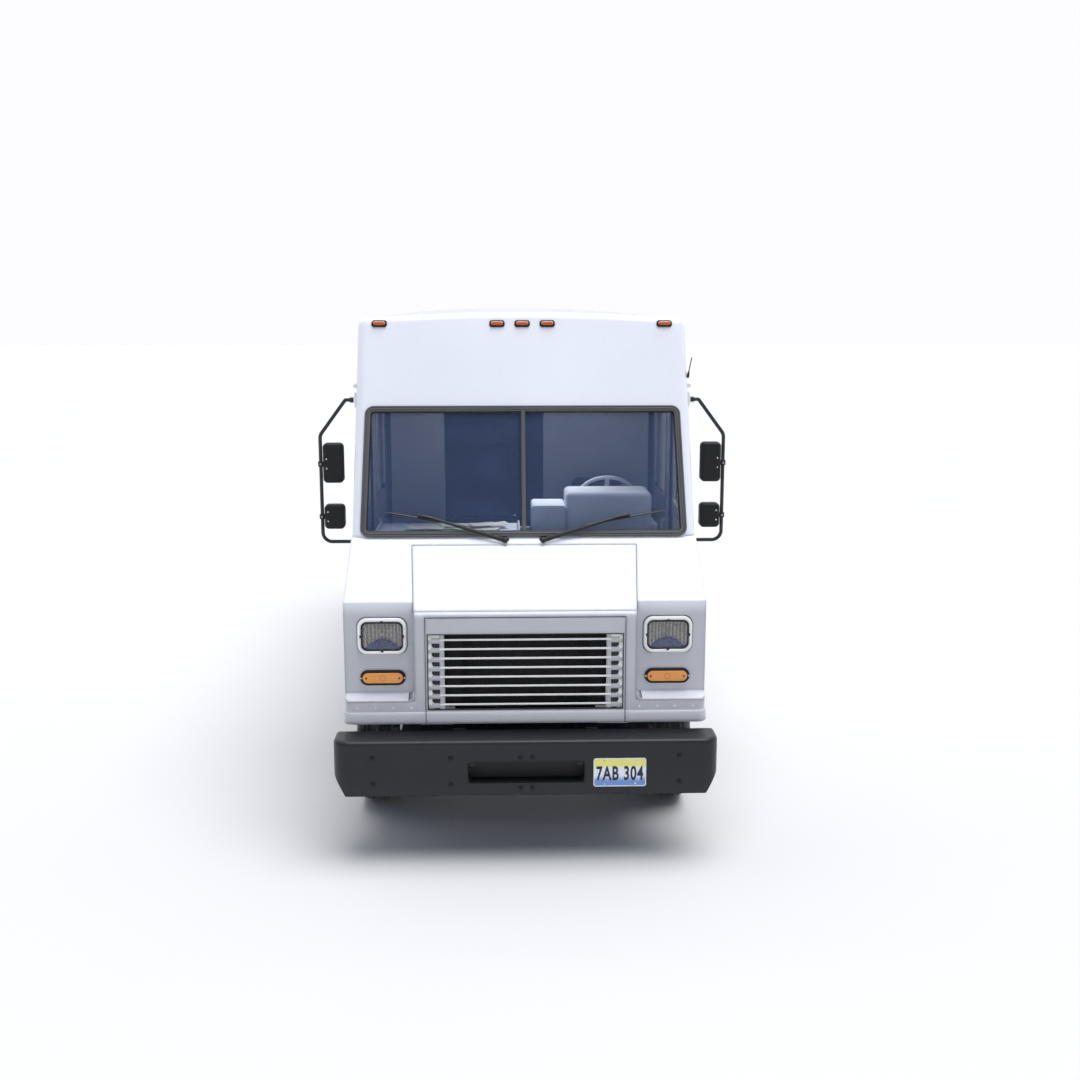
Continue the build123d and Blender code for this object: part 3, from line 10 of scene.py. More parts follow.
import bmesh
import bpy
import numpy as np
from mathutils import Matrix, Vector


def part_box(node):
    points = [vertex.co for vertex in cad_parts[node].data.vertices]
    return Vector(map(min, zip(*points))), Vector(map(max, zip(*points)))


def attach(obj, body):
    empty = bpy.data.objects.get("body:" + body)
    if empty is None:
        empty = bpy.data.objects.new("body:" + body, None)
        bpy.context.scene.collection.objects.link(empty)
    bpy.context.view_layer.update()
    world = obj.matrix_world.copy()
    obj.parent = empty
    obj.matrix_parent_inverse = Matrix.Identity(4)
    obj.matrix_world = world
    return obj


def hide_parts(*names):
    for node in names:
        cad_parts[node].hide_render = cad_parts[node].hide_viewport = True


bl_info = {
    "name": "Step van finishing",
    "version": (1, 0, 0),
    "blender": (4, 5, 0),
    "location": "3D View > Sidebar > Step van",
    "description": "Gives a step van's frame its lamps, grille, trim, tyres, cab and finishes",
    "category": "Object",
}

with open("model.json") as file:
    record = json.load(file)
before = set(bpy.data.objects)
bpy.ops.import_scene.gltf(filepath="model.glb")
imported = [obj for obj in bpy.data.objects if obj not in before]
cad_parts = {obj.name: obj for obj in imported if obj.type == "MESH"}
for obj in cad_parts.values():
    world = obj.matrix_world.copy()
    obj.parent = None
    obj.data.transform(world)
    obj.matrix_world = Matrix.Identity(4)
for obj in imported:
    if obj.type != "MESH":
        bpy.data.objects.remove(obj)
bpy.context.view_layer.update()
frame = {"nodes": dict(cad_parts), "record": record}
SIDES = {"left": 1, "right": -1}


def corners(node):
    """Lowest and highest corner of a node as arrays."""
    low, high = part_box(node)
    return np.array(low), np.array(high)


# Planes of the frame that many pieces start from.
BUMPER_FACE = corners("front_bumper")[0][1]
WALL_X = corners("body_walls")[1][0]
BOX_REAR = corners("body_walls")[1][1]
NOSE_LOW, NOSE_HIGH = corners("nose")
NOSE_FACE = NOSE_LOW[1]
GRILLE_LOW, GRILLE_HIGH = corners("grille_panel")
RING_LOW, RING_HIGH = corners("headlamp_rings")
LAMP_X = RING_HIGH[0] - 0.1455
LAMP_Z = (RING_LOW[2] + RING_HIGH[2]) / 2
MIRROR_STATION = 1.120
FOLD = np.array((0.0, BUMPER_FACE + 0.616, 1.832))
RAKE = math.radians(26)
UP_GLASS = np.array((0.0, math.sin(RAKE), math.cos(RAKE)))
OFF_GLASS = np.array((0.0, -math.cos(RAKE), math.sin(RAKE)))
ACROSS = np.array((1.0, 0.0, 0.0))
FORWARD = np.array((0.0, -1.0, 0.0))
UP = np.array((0.0, 0.0, 1.0))
BACK = np.array((0.0, 1.0, 0.0))


def station(distance):
    """Place along Y of a distance behind the bumper's face."""
    return BUMPER_FACE + distance


# ------------------------------------------------------------------ shapes
def quads(rows, columns, wrap_rows, wrap_columns, first):
    """Four-cornered faces over a grid of points, closed round where it wraps."""
    i = np.arange(rows if wrap_rows else rows - 1)[:, None]
    j = np.arange(columns if wrap_columns else columns - 1)[None, :]
    k, m = (i + 1) % rows, (j + 1) % columns
    faces = np.stack([i * columns + j, k * columns + j, k * columns + m, i * columns + m], -1)
    return faces.reshape(-1, 4) + first


def weld_outward(mesh, distance):
    """Merges doubles and turns the faces outwards."""
    shell = bmesh.new()
    shell.from_mesh(mesh)
    bmesh.ops.remove_doubles(shell, verts=shell.verts, dist=distance)
    bmesh.ops.recalc_face_normals(shell, faces=shell.faces)
    shell.to_mesh(mesh)
    shell.free()


def shade_smooth(mesh):
    """Marks every face as smooth."""
    mesh.polygons.foreach_set("use_smooth", np.full(len(mesh.polygons), True))


def placed(name, mesh, body, finish, stands_for=()):
    """An object of that mesh and finish, riding on its body, in its slot."""
    obj = bpy.data.objects.new(name, mesh)
    bpy.context.scene.collection.objects.link(obj)
    mesh.materials.append(finish)
    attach(obj, body)
    if stands_for:
        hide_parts(*stands_for)
    return obj


def piece(name, patches, body, finish, stands_for=(), crease=40, weld=1e-5):
    """A smooth piece from patches of (points, wraps in rows, wraps in columns)."""
    points, faces, first = [], [], 0
    for grid, wrap_rows, wrap_columns in patches:
        rows, columns = grid.shape[:2]
        points.append(grid.reshape(-1, 3))
        faces.append(quads(rows, columns, wrap_rows, wrap_columns, first))
        first += rows * columns
    mesh = bpy.data.meshes.new(name)
    mesh.from_pydata(np.concatenate(points).tolist(), [], np.concatenate(faces).tolist())
    weld_outward(mesh, weld)
    shade_smooth(mesh)
    obj = placed(name, mesh, body, finish, stands_for)
    mesh.set_sharp_from_angle(angle=math.radians(crease))
    return obj


def thickened(obj, thickness, offset=0):
    """Gives a sheet its wall."""
    wall = obj.modifiers.new("thickness", "SOLIDIFY")
    wall.thickness, wall.offset = thickness, offset


def points_of(mesh):
    """Places of a mesh's vertices, one to a row."""
    flat = np.empty(len(mesh.vertices) * 3)
    mesh.vertices.foreach_get("co", flat)
    return flat.reshape(-1, 3)


def move_points(mesh, points):
    """Puts a mesh's vertices at the places given."""
    mesh.vertices.foreach_set("co", points.ravel())
    mesh.update()


def outline(half_width, half_height, radius, count=48):
    """Rounded rectangle: corner centres by the signs of cosine and sine, plus a circle."""
    angle = (np.arange(count) + 0.5) / count * 2 * math.pi
    c, s = np.cos(angle), np.sin(angle)
    return np.stack([np.sign(c) * (half_width - radius) + radius * c,
                     np.sign(s) * (half_height - radius) + radius * s], -1)


def lifted(flat, centre, across, up, out, rise):
    """Points of a flat shape in the plane of across and up, raised along out by rise."""
    return centre + flat[..., :1] * across + flat[..., 1:2] * up + np.asarray(rise)[..., None] * out


def dome(shape, centre, across, up, out, rows):
    """Closed shell: shrinking copies of an outline at the heights given by rows of (scale, rise)."""
    table = np.array(rows)
    flat = shape[None] * table[:, 0, None, None]
    rise = np.repeat(table[:, 1, None], len(shape), 1)
    return lifted(flat, centre, across, up, out, rise), False, True


def inset_dome(half_width, half_height, radius, centre, across, up, out, rows, count=48):
    """Closed shell like dome, whose rows draw the outline in by a distance; both ends fold shut."""
    shapes, rises = [], []
    for inset, rise in rows:
        w, h = max(half_width - inset, 0.0002), max(half_height - inset, 0.0002)
        shapes.append(outline(w, h, min(max(radius - inset, 0.0004), w, h), count))
        rises.append(rise)
    narrow = 1 if half_height <= half_width else 0
    for end in (0, -1):
        folded = shapes[end].copy()
        folded[:, narrow] = 0
        place = 0 if end == 0 else len(shapes)
        shapes.insert(place, folded)
        rises.insert(place, rises[end])
    rise = np.repeat(np.array(rises)[:, None], count, 1)
    return lifted(np.stack(shapes), centre, across, up, out, rise), False, True


def bead(shape, centre, across, up, out, profile):
    """Profile carried round an outline: each of its points is (outward, raised)."""
    step = np.roll(shape, -1, 0) - np.roll(shape, 1, 0)
    step /= np.linalg.norm(step, axis=1, keepdims=True)
    outward = np.stack([step[:, 1], -step[:, 0]], -1)
    table = np.array(profile)
    flat = shape[:, None] + outward[:, None] * table[None, :, :1]
    rise = np.repeat(table[None, :, 1], len(shape), 0)
    return lifted(flat, centre, across, up, out, rise), True, True


def round_profile(width, height, count=12, base=0.0):
    """Upper half of an ellipse of that width and height, closed by its flat foot."""
    angle = np.linspace(0, math.pi, count)
    return np.stack([width / 2 * np.cos(angle), base + height * np.sin(angle)], -1)


def capped(grid):
    """Closed shell from a grid of sections, each end drawn to its middle."""
    ends = [np.repeat(grid[k].mean(0)[None, None], grid.shape[1], 1) for k in (0, -1)]
    return np.concatenate([ends[0], grid, ends[1]]), False, True


def seal_profile(height):
    """Section of a pane's rubber seal, for bead."""
    return np.concatenate([round_profile(0.020, height, 8, 0.0), [(-0.010, -0.002), (0.010, -0.002)]])


def tube(path, radius, count=12, side=(1.0, 0.0, 0.0)):
    """Circle carried along a path, with its ends drawn to a point; side fixes its turn."""
    path = np.asarray(path, float)
    along = np.gradient(path, axis=0)
    along /= np.linalg.norm(along, axis=1, keepdims=True)
    first = np.cross(along, np.asarray(side, float))
    first /= np.linalg.norm(first, axis=1, keepdims=True)
    second = np.cross(along, first)
    angle = np.arange(count) / count * 2 * math.pi
    cosine, sine = np.cos(angle)[None, :, None], np.sin(angle)[None, :, None]
    body = path[:, None] + radius * (first[:, None] * cosine + second[:, None] * sine)
    ends = [np.repeat(path[k][None, None], count, 1) for k in (0, -1)]
    return np.concatenate([ends[0], body, ends[1]]), False, True


def extruded(section, x0, x1):
    """Closed section of (y, z) points carried along X between two flat ends."""
    section = np.asarray(section, float)
    middle = section.mean(0) + 0 * section
    rows = []
    for x, shape in ((x0, middle), (x0, section), (x1, section), (x1, middle)):
        rows.append(np.concatenate([np.full((len(shape), 1), x), shape], 1))
    return np.stack(rows), False, True


def bar(low, high):
    """Straight bar with softened long edges between two corners, closed at its ends."""
    low, high = np.minimum(low, high), np.maximum(low, high)
    long = int(np.argmax(high - low))
    a, b = [k for k in range(3) if k != long]
    half = (high - low) / 2
    mid = (high + low) / 2
    soft = min(half[a], half[b]) * 0.35
    shape = outline(half[a], half[b], soft, 12)
    rows = []
    for place, scale in ((low[long], 0), (low[long], 1), (high[long], 1), (high[long], 0)):
        row = np.empty((12, 3))
        row[:, long] = place
        row[:, a] = mid[a] + shape[:, 0] * scale
        row[:, b] = mid[b] + shape[:, 1] * scale
        rows.append(row)
    return np.stack(rows), False, True


def turned(profile, centre, axis, count=48, start=(0.0, 0.0, 1.0)):
    """Profile of (along, radius) turned round an axis through centre."""
    axis = np.asarray(axis, float)
    first = np.asarray(start, float)
    second = np.cross(axis, first)
    angle = np.arange(count) / count * 2 * math.pi
    spokes = np.cos(angle)[:, None] * first + np.sin(angle)[:, None] * second
    table = np.asarray(profile, float)
    grid = centre + table[None, :, :1] * axis + table[None, :, 1:2] * spokes[:, None]
    return grid, True, False


def studs(places, normals, radius, height, sides=8):
    """Many rivet heads at once: three rings under a crown, turned to each normal."""
    places, normals = np.asarray(places, float), np.asarray(normals, float)
    normals = normals / np.linalg.norm(normals, axis=1, keepdims=True)
    helper = np.where(np.abs(normals[:, 2:]) > 0.9, np.array((1.0, 0, 0)), np.array((0, 0, 1.0)))
    a = np.cross(helper, normals)
    a /= np.linalg.norm(a, axis=1, keepdims=True)
    b = np.cross(normals, a)
    angle = np.arange(sides) / sides * 2 * math.pi
    rings = np.array([(1.0, -0.3), (1.0, 0.0), (0.72, 0.75)])
    local = [(r * math.cos(t), r * math.sin(t), h) for r, h in rings for t in angle]
    local = np.array(local + [(0, 0, 1.0), (0, 0, -0.3)]) * (radius, radius, height)
    points = (places[:, None] + local[None, :, :1] * a[:, None] + local[None, :, 1:2] * b[:, None]
              + local[None, :, 2:] * normals[:, None])
    k = np.arange(sides)
    n = (k + 1) % sides
    faces = [np.stack([row + k, row + n, row + sides + n, row + sides + k], -1)
             for row in (0, sides)]
    faces.append(np.stack([2 * sides + k, 2 * sides + n, 0 * k + 3 * sides, 0 * k + 3 * sides], -1))
    faces.append(np.stack([n, k, 0 * k + 3 * sides + 1, 0 * k + 3 * sides + 1], -1))
    faces = np.concatenate(faces)
    faces = (faces[None] + (np.arange(len(places)) * len(local))[:, None, None]).reshape(-1, 4)
    return points.reshape(-1, 3), faces


def stud_piece(name, places, normals, radius, height, body, finish, sides=8):
    """Rivet heads as one piece; the last two corners of each crown face are one point."""
    points, faces = studs(places, normals, radius, height, sides)
    plain = [tuple(dict.fromkeys(f)) for f in faces.tolist()]
    mesh = bpy.data.meshes.new(name)
    mesh.from_pydata(points.tolist(), [], plain)
    shade_smooth(mesh)
    return placed(name, mesh, body, finish)


# ------------------------------------------------------------------ finishes
def add_node(tree, kind, settings=None, sockets=None):
    """A node of that type: settings first, then the values or links of its sockets."""
    node = tree.nodes.new(kind)
    for key, value in (settings or {}).items():
        setattr(node, key, value)
    for key, value in (sockets or {}).items():
        if isinstance(value, Signal):
            tree.links.new(value.socket, node.inputs[key])
        else:
            node.inputs[key].default_value = value
    return node


class Signal:
    """A shader socket; arithmetic on it adds Math nodes."""

    def __init__(self, tree, socket):
        self.tree, self.socket = tree, socket

    def math(self, operation, *values, clamp=False):
        node = add_node(self.tree, "ShaderNodeMath", {"operation": operation, "use_clamp": clamp},
                        dict(enumerate(values)))
        return Signal(self.tree, node.outputs[0])

    def __add__(self, other):
        return self.math("ADD", self, other)

    def __radd__(self, other):
        return self.math("ADD", other, self)

    def __sub__(self, other):
        return self.math("SUBTRACT", self, other)

    def __rsub__(self, other):
        return self.math("SUBTRACT", other, self)

    def __mul__(self, other):
        return self.math("MULTIPLY", self, other)

    def __rmul__(self, other):
        return self.math("MULTIPLY", other, self)

    def __truediv__(self, other):
        return self.math("DIVIDE", self, other)

    def __gt__(self, other):
        return self.math("GREATER_THAN", self, other)

    def __lt__(self, other):
        return self.math("LESS_THAN", self, other)

    def __abs__(self):
        return self.math("ABSOLUTE", self)

    def sine(self):
        return self.math("SINE", self)

    def clamped(self):
        return self.math("ADD", self, 0.0, clamp=True)

    def larger(self, other):
        return self.math("MAXIMUM", self, other)


class Finish:
    """A material with its principled shader and Object coordinates at hand."""

    def __init__(self, name, **constants):
        self.material = bpy.data.materials.new(name)
        self.material.use_nodes = True
        self.tree = self.material.node_tree
        self.tree.nodes.clear()
        self.shader = self.add("ShaderNodeBsdfPrincipled", {}, constants)
        self.out = self.add("ShaderNodeOutputMaterial")
        self.tree.links.new(self.shader.outputs[0], self.out.inputs[0])
        self.coords = self.add("ShaderNodeTexCoord")
        self.place = Signal(self.tree, self.coords.outputs["Object"])
        split = self.add("ShaderNodeSeparateXYZ", {}, {0: self.place})
        self.x, self.y, self.z = (Signal(self.tree, split.outputs[k]) for k in range(3))

    def add(self, kind, settings=None, sockets=None):
        """A node of this material."""
        return add_node(self.tree, kind, settings, sockets)

    def noise(self, scale, detail=3.0, roughness=0.5, stretch=None):
        """Fractal noise from 0 to 1, about 0.5 on average."""
        where = self.place
        if stretch:
            mapping = self.add("ShaderNodeMapping", {}, {0: self.place, 3: stretch})
            where = Signal(self.tree, mapping.outputs[0])
        node = self.add("ShaderNodeTexNoise", {}, {"Vector": where, "Scale": scale, "Detail": detail,
                                                   "Roughness": roughness})
        return Signal(self.tree, node.outputs[0])

    def cells(self, scale):
        """Distance to the nearest of many scattered points."""
        node = self.add("ShaderNodeTexVoronoi", {}, {"Vector": self.place, "Scale": scale})
        return Signal(self.tree, node.outputs["Distance"])

    def band(self, signal, low, high):
        """Rises smoothly from 0 at low to 1 at high."""
        node = self.add("ShaderNodeMapRange", {"interpolation_type": "SMOOTHSTEP"},
                        {0: signal, 1: low, 2: high, 3: 0.0, 4: 1.0})
        return Signal(self.tree, node.outputs[0])

    def mix(self, share, first, second):
        """Colour between two colours."""
        node = self.add("ShaderNodeMix", {"data_type": "RGBA"}, {0: share, 6: first, 7: second})
        return Signal(self.tree, node.outputs[2])

    def set(self, **links):
        """Links signals to the shader's sockets, with spaces for underscores."""
        for key, value in links.items():
            self.tree.links.new(value.socket, self.shader.inputs[key.replace("_", " ")])

    def upness(self):
        """How far the surface faces up, from -1 to 1."""
        normal = Signal(self.tree, self.coords.outputs["Normal"])
        split = self.add("ShaderNodeSeparateXYZ", {}, {0: normal})
        return Signal(self.tree, split.outputs[2])

    def bump(self, height, strength, distance, soft=0.0):
        """Height in units of distance, as a bump; soft is a radius given to sharp edges."""
        node = self.add("ShaderNodeBump", {}, {"Height": height, "Strength": strength,
                                               "Distance": distance})
        if soft:
            edge = self.add("ShaderNodeBevel", {"samples": 6}, {"Radius": soft})
            self.tree.links.new(edge.outputs[0], node.inputs["Normal"])
        self.tree.links.new(node.outputs[0], self.shader.inputs["Normal"])


def rgba(colour, factor=1.0):
    """Colour with its alpha, brightened or darkened by a factor."""
    return tuple(min(1.0, channel * factor) for channel in colour[:3]) + (1.0,)


def plain_finish(name, colour, rough=0.5, grain=120.0, depth=0.00015, spread=0.12, metal=0.0, coat=0.0,
                 dirt=0.0, dirt_top=0.9, scratch=0.0, soft=0.0, shine=0.5):
    """Painted, moulded or cast surface: cloudy tone, fine grain, road dust low down, scratches."""
    f = Finish(name, **{"Metallic": metal, "Coat Weight": coat, "Coat Roughness": 0.08,
                        "Specular IOR Level": shine})
    cloud = f.noise(2.3, 4.0, 0.55)
    fine = f.noise(grain, 2.0, 0.6)
    tone = f.mix(f.band(cloud, 0.3, 0.7), rgba(colour, 1 - spread), rgba(colour, 1 + spread * 0.6))
    tone = f.mix(fine * 0.10, tone, rgba(colour, 0.75))
    roughness = rough + (cloud - 0.5) * 0.16 + (fine - 0.5) * 0.06
    if scratch:
        lines = f.band(f.noise(34.0, 5.0, 0.7, (1.0, 6.0, 9.0)), 0.60, 0.72) * scratch
        tone = f.mix(lines, tone, rgba(colour, 2.2))
        roughness = roughness + lines * 0.15
    if dirt:
        low = 1 - f.band(f.z + (cloud - 0.5) * 0.5, 0.15, dirt_top)
        low = low * dirt * (0.45 + f.noise(9.0, 6.0, 0.7))
        tone = f.mix(low.clamped(), tone, (0.24, 0.21, 0.175, 1))
        roughness = roughness + low * 0.3
    f.set(Base_Color=tone, Roughness=roughness.clamped())
    f.bump(fine, 0.5, depth, soft)
    return f.material


def white_finish(name, colour, peel=0.0004, scale=45.0, dirt=0.25, upright_shade=0.0, soft=0.012, roof=0.0):
    """White paint or gel coat: orange peel, dust near the ground, painted shade on the upright faces below
    the hood's edge.
    """
    f = Finish(name, **{"Coat Weight": 0.35, "Coat Roughness": 0.12, "IOR": 1.45})
    cloud = f.noise(1.1, 4.0, 0.5)
    skin = f.noise(scale, 2.0, 0.5)
    streak = f.noise(5.0, 4.0, 0.6, (5.0, 5.0, 0.35))
    tone = f.mix(f.band(cloud, 0.3, 0.72), rgba(colour, 0.965), rgba(colour, 1.0))
    tone = f.mix(f.band(streak, 0.55, 0.8) * 0.07, tone, (0.55, 0.55, 0.56, 1))
    low = (1 - f.band(f.z + (cloud - 0.5) * 0.7, 0.55, 1.5)) * dirt * f.noise(14.0, 6.0, 0.7)
    tone = f.mix(low.clamped(), tone, (0.42, 0.39, 0.35, 1))
    if roof:
        dust = f.band(f.upness(), 0.80, 0.98) * f.band(f.z, 2.95, 3.08) * (0.5 + f.noise(4.0, 6.0, 0.65))
        tone = f.mix((dust * roof).clamped(), tone, (0.30, 0.29, 0.275, 1))
    # Painted shade: below the hood's edge, faces that do not face up are darkened towards near-black,
    # standing in for the shade on the nose's front.
    if upright_shade:
        upright = 1 - f.band(f.upness(), 0.15, 1.25)
        tone = f.mix((1 - f.band(f.z, 1.42, 1.52)) * upright * upright_shade, tone, (0.02, 0.02, 0.022, 1))
    rough = 0.34 + (cloud - 0.5) * 0.12 + low * 0.4
    f.set(Base_Color=tone, Roughness=rough)
    f.bump(skin, 0.35, peel, soft)
    return f.material


def tyre_finish(colour):
    """Rubber: dusty grooves and sidewall, fine pitting."""
    f = Finish("tyre_rubber", **{"Sheen Weight": 0.15, "Sheen Roughness": 0.5})
    dust = f.noise(22.0, 5.0, 0.65)
    fine = f.noise(260.0, 2.0, 0.6)
    tone = f.mix(f.band(dust, 0.42, 0.72) * 0.55, rgba(colour), (0.11, 0.10, 0.09, 1))
    f.set(Base_Color=tone, Roughness=(0.78 + (dust - 0.5) * 0.25).clamped())
    f.bump(fine + dust * 2.0, 0.5, 0.0004)
    return f.material


def metal_finish(name, colour, rough=0.32, brush=(1.0, 1.0, 1.0), rust=0.0):
    """Bare or plated metal: brushing along one direction, with rust where asked."""
    f = Finish(name, **{"Metallic": 1.0})
    grain = f.noise(60.0, 4.0, 0.6, brush)
    cloud = f.noise(5.0, 5.0, 0.6)
    tone = f.mix(grain, rgba(colour, 0.75), rgba(colour, 1.15))
    if rust:
        spots = f.band(cloud, 0.52, 0.68) * rust
        tone = f.mix(spots, tone, (0.16, 0.07, 0.035, 1))
        f.set(Metallic=1 - spots * 0.8)
    f.set(Base_Color=tone, Roughness=(rough + (grain - 0.5) * 0.2 + (cloud - 0.5) * 0.25).clamped())
    f.bump(grain, 0.4, 0.0002)
    return f.material


def glass_finish(name, colour, alpha, rough=0.03):
    """Tinted pane: blue body colour that half hides what is behind, with faint smears."""
    f = Finish(name, **{"Coat Weight": 0.3, "Coat Roughness": 0.02, "IOR": 1.5})
    smear = f.noise(3.0, 5.0, 0.65, (1.0, 1.0, 2.6))
    dust = f.noise(180.0, 2.0, 0.5)
    share = f.band(smear, 0.45, 0.8)
    f.set(Base_Color=f.mix(share * 0.3, rgba(colour), rgba(colour, 1.8)),
          Roughness=rough + share * 0.05,
          Alpha=(alpha + share * 0.04 + dust * 0.01).clamped())
    return f.material


def windowed_finish(name, colour, tint, rects):
    """White sheet whose panes, inside the given rectangles, are tinted and see-through."""
    f = Finish(name, **{"Coat Weight": 0.3, "Coat Roughness": 0.1})
    cloud = f.noise(1.4, 4.0, 0.5)
    skin = f.noise(45.0, 2.0, 0.5)
    pane = None
    for across, (a0, a1), (z0, z1) in rects:
        axis = f.y if across == "y" else abs(f.x)
        part = (axis > a0) * (axis < a1) * (f.z > z0) * (f.z < z1)
        pane = part if pane is None else pane.larger(part)
    low = (1 - f.band(f.z + (cloud - 0.5) * 0.6, 0.8, 1.6)) * 0.25 * f.noise(14.0, 6.0, 0.7)
    tone = f.mix(f.band(cloud, 0.3, 0.7), rgba(colour, 0.96), rgba(colour))
    tone = f.mix(low.clamped(), tone, (0.42, 0.39, 0.35, 1))
    f.set(Base_Color=f.mix(pane, tone, rgba(tint, 0.5)), Roughness=0.36 - pane * 0.32,
          Alpha=1 - pane * 0.35)
    f.bump(skin * (1 - pane), 0.35, 0.0004)
    return f.material


def lens_finish(name, colour, rough=0.14, pitch=0.006, alpha=1.0):
    """Moulded lamp lens: a grid of small prisms under a glossy face."""
    f = Finish(name, **{"Coat Weight": 0.6, "Coat Roughness": 0.05, "Subsurface Weight": 0.15,
                        "Subsurface Scale": 0.01, "Alpha": alpha})
    wave = 2 * math.pi / pitch
    prisms = (f.x * wave).sine() * (f.z * wave).sine()
    cloud = f.noise(40.0, 3.0, 0.5)
    tone = f.mix(f.band(prisms, -1.0, 1.0), rgba(colour, 0.72), rgba(colour, 1.15))
    tone = f.mix(cloud * 0.2, tone, rgba(colour, 0.6))
    f.set(Base_Color=tone, Roughness=rough + cloud * 0.08)
    f.bump(prisms, 0.35, 0.0006)
    return f.material


def fin_finish(colour):
    """Radiator core: upright tubes with fine fins between them."""
    f = Finish("radiator_fins", **{"Metallic": 0.4})
    tubes = (f.x * (2 * math.pi / 0.012)).sine()
    fins = (f.z * (2 * math.pi / 0.0025)).sine()
    cloud = f.noise(12.0, 4.0, 0.6)
    shade = f.band(tubes, -0.2, 0.6)
    tone = f.mix(shade, rgba(colour, 0.35), rgba(colour, 1.3))
    tone = f.mix(cloud * 0.3, tone, (0.05, 0.045, 0.04, 1))
    f.set(Base_Color=tone, Roughness=0.62 + (cloud - 0.5) * 0.2)
    f.bump(tubes + fins * 0.5, 0.8, 0.0015)
    return f.material


def tread_plate_finish(colour):
    """Floor sheet with raised bars in a crossed pattern, worn where feet go."""
    f = Finish("floor_tread", **{"Metallic": 0.7})
    pitch = 2 * math.pi / 0.034
    one = ((f.x + f.y) * pitch).sine() * ((f.x - f.y) * pitch * 0.5).sine()
    two = ((f.x - f.y) * pitch).sine() * ((f.x + f.y) * pitch * 0.5).sine()
    bars = f.band(one.larger(two), 0.55, 0.85)
    worn = f.noise(3.0, 5.0, 0.6)
    tone = f.mix(bars * (0.4 + worn * 0.6), rgba(colour, 0.75), rgba(colour, 1.9))
    tone = f.mix(f.band(worn, 0.5, 0.8) * 0.4, tone, (0.12, 0.11, 0.1, 1))
    f.set(Base_Color=tone, Roughness=(0.55 - bars * 0.18 + (worn - 0.5) * 0.2).clamped())
    f.bump(bars, 0.7, 0.0018)
    return f.material


def vinyl_finish(colour):
    """Seat vinyl: fine pebble grain, softly creased, with painted shade in its folds and lighter raised
    parts.
    """
    f = Finish("seat_vinyl", **{"Sheen Weight": 0.12, "Sheen Roughness": 0.4})
    pebble = f.cells(420.0)
    crease = f.noise(14.0, 5.0, 0.6)
    tone = f.mix(f.band(pebble, 0.0, 0.5), rgba(colour, 0.65), rgba(colour, 1.2))
    # Painted shade: the crease noise that bumps the folds also lightens the vinyl where the folds rise, so
    # the folds read darker.
    tone = f.mix(f.band(crease, 0.5, 0.75) * 0.35, tone, rgba(colour, 1.7))
    f.set(Base_Color=tone, Roughness=(0.52 + (crease - 0.5) * 0.25).clamped())
    f.bump(pebble + crease * 0.8, 0.55, 0.0006)
    return f.material


def plate_finish(height_low, height_high):
    """Licence plate field: yellow head, white middle and blue foot, fading into each other."""
    f = Finish("plate_field", **{"Coat Weight": 0.2, "Coat Roughness": 0.15})
    up = f.band(f.z, height_low, height_high)
    grain = f.noise(900.0, 2.0, 0.5)
    hills = f.noise(22.0, 3.0, 0.5, (1.0, 1.0, 0.1))
    foot = 1 - f.band(up + (hills - 0.5) * 0.12, 0.06, 0.36)
    head = f.band(up, 0.74, 0.82)
    tone = f.mix(foot * 0.95, (0.80, 0.85, 0.92, 1), (0.06, 0.2, 0.58, 1))
    tone = f.mix(head, tone, (0.86, 0.80, 0.16, 1))
    tone = f.mix(grain * 0.12, tone, (0.95, 0.95, 0.95, 1))
    f.set(Base_Color=tone, Roughness=0.32 + grain * 0.12)
    f.bump(grain, 0.2, 0.0001)
    return f.material


def reflector_finish(colour, middle, edge):
    """Lamp bowl: facets with painted glints over a painted blue reflection shaped as a crescent, edge being
    the crescent's highest point.
    """
    f = Finish("lamp_reflector", **{"Metallic": 0.25})
    ripple = f.noise(60.0, 3.0, 0.5)
    facets_and_glints = f.band((f.x * (2 * math.pi / 0.021)).sine() + (ripple - 0.5), -0.4, 0.6)
    aside = (abs(f.x) - middle) / 0.088
    reflection_crest = edge - aside * aside * 0.034
    # Painted reflection: foot masks a blue crescent low in the bowl, standing in for the blue surroundings
    # reflected there.
    foot = 1 - f.band(f.z - reflection_crest + (ripple - 0.5) * 0.006, -0.004, 0.004)
    # Painted glints: the facets' light and dark stripes are in the colour; the same signal also gives the
    # facets' real bump.
    tone = f.mix(facets_and_glints, rgba(colour, 0.62), rgba(colour, 1.3))
    f.set(Base_Color=f.mix(foot, tone, (0.030, 0.075, 0.30, 1)), Roughness=0.2 + ripple * 0.15)
    f.bump(facets_and_glints + ripple, 0.5, 0.002)
    return f.material


def paper_finish():
    """Sorted letters: pale paper with faint ruled lines."""
    f = Finish("letter_paper", **{"Sheen Weight": 0.05})
    fibre = f.noise(300.0, 4.0, 0.6)
    lines = f.band((f.y * (2 * math.pi / 0.012)).sine(), 0.75, 0.95)
    tone = f.mix(fibre * 0.25, (0.82, 0.83, 0.74, 1), (0.66, 0.68, 0.56, 1))
    tone = f.mix(lines * 0.35, tone, (0.35, 0.4, 0.45, 1))
    f.set(Base_Color=tone, Roughness=0.7 + fibre * 0.1)
    f.bump(fibre, 0.3, 0.0002)
    return f.material


def floor_finish(colour):
    """Studio floor: pale, matt and barely mottled."""
    f = Finish("studio_floor", **{"Specular IOR Level": 0.1})
    cloud = f.noise(0.35, 3.0, 0.5)
    f.set(Base_Color=f.mix(cloud, rgba(colour, 0.985), rgba(colour)), Roughness=0.9 - cloud * 0.04)
    return f.material


def size(name, metres, description):
    """A length property of the van."""
    return bpy.props.FloatProperty(name=name, default=metres, unit="LENGTH", precision=4,
                                   description=description)


def tint(name, colour, description):
    """A colour property of the van."""
    return bpy.props.FloatVectorProperty(name=name, default=colour, subtype="COLOR", size=3, min=0, max=1,
                                         description=description)


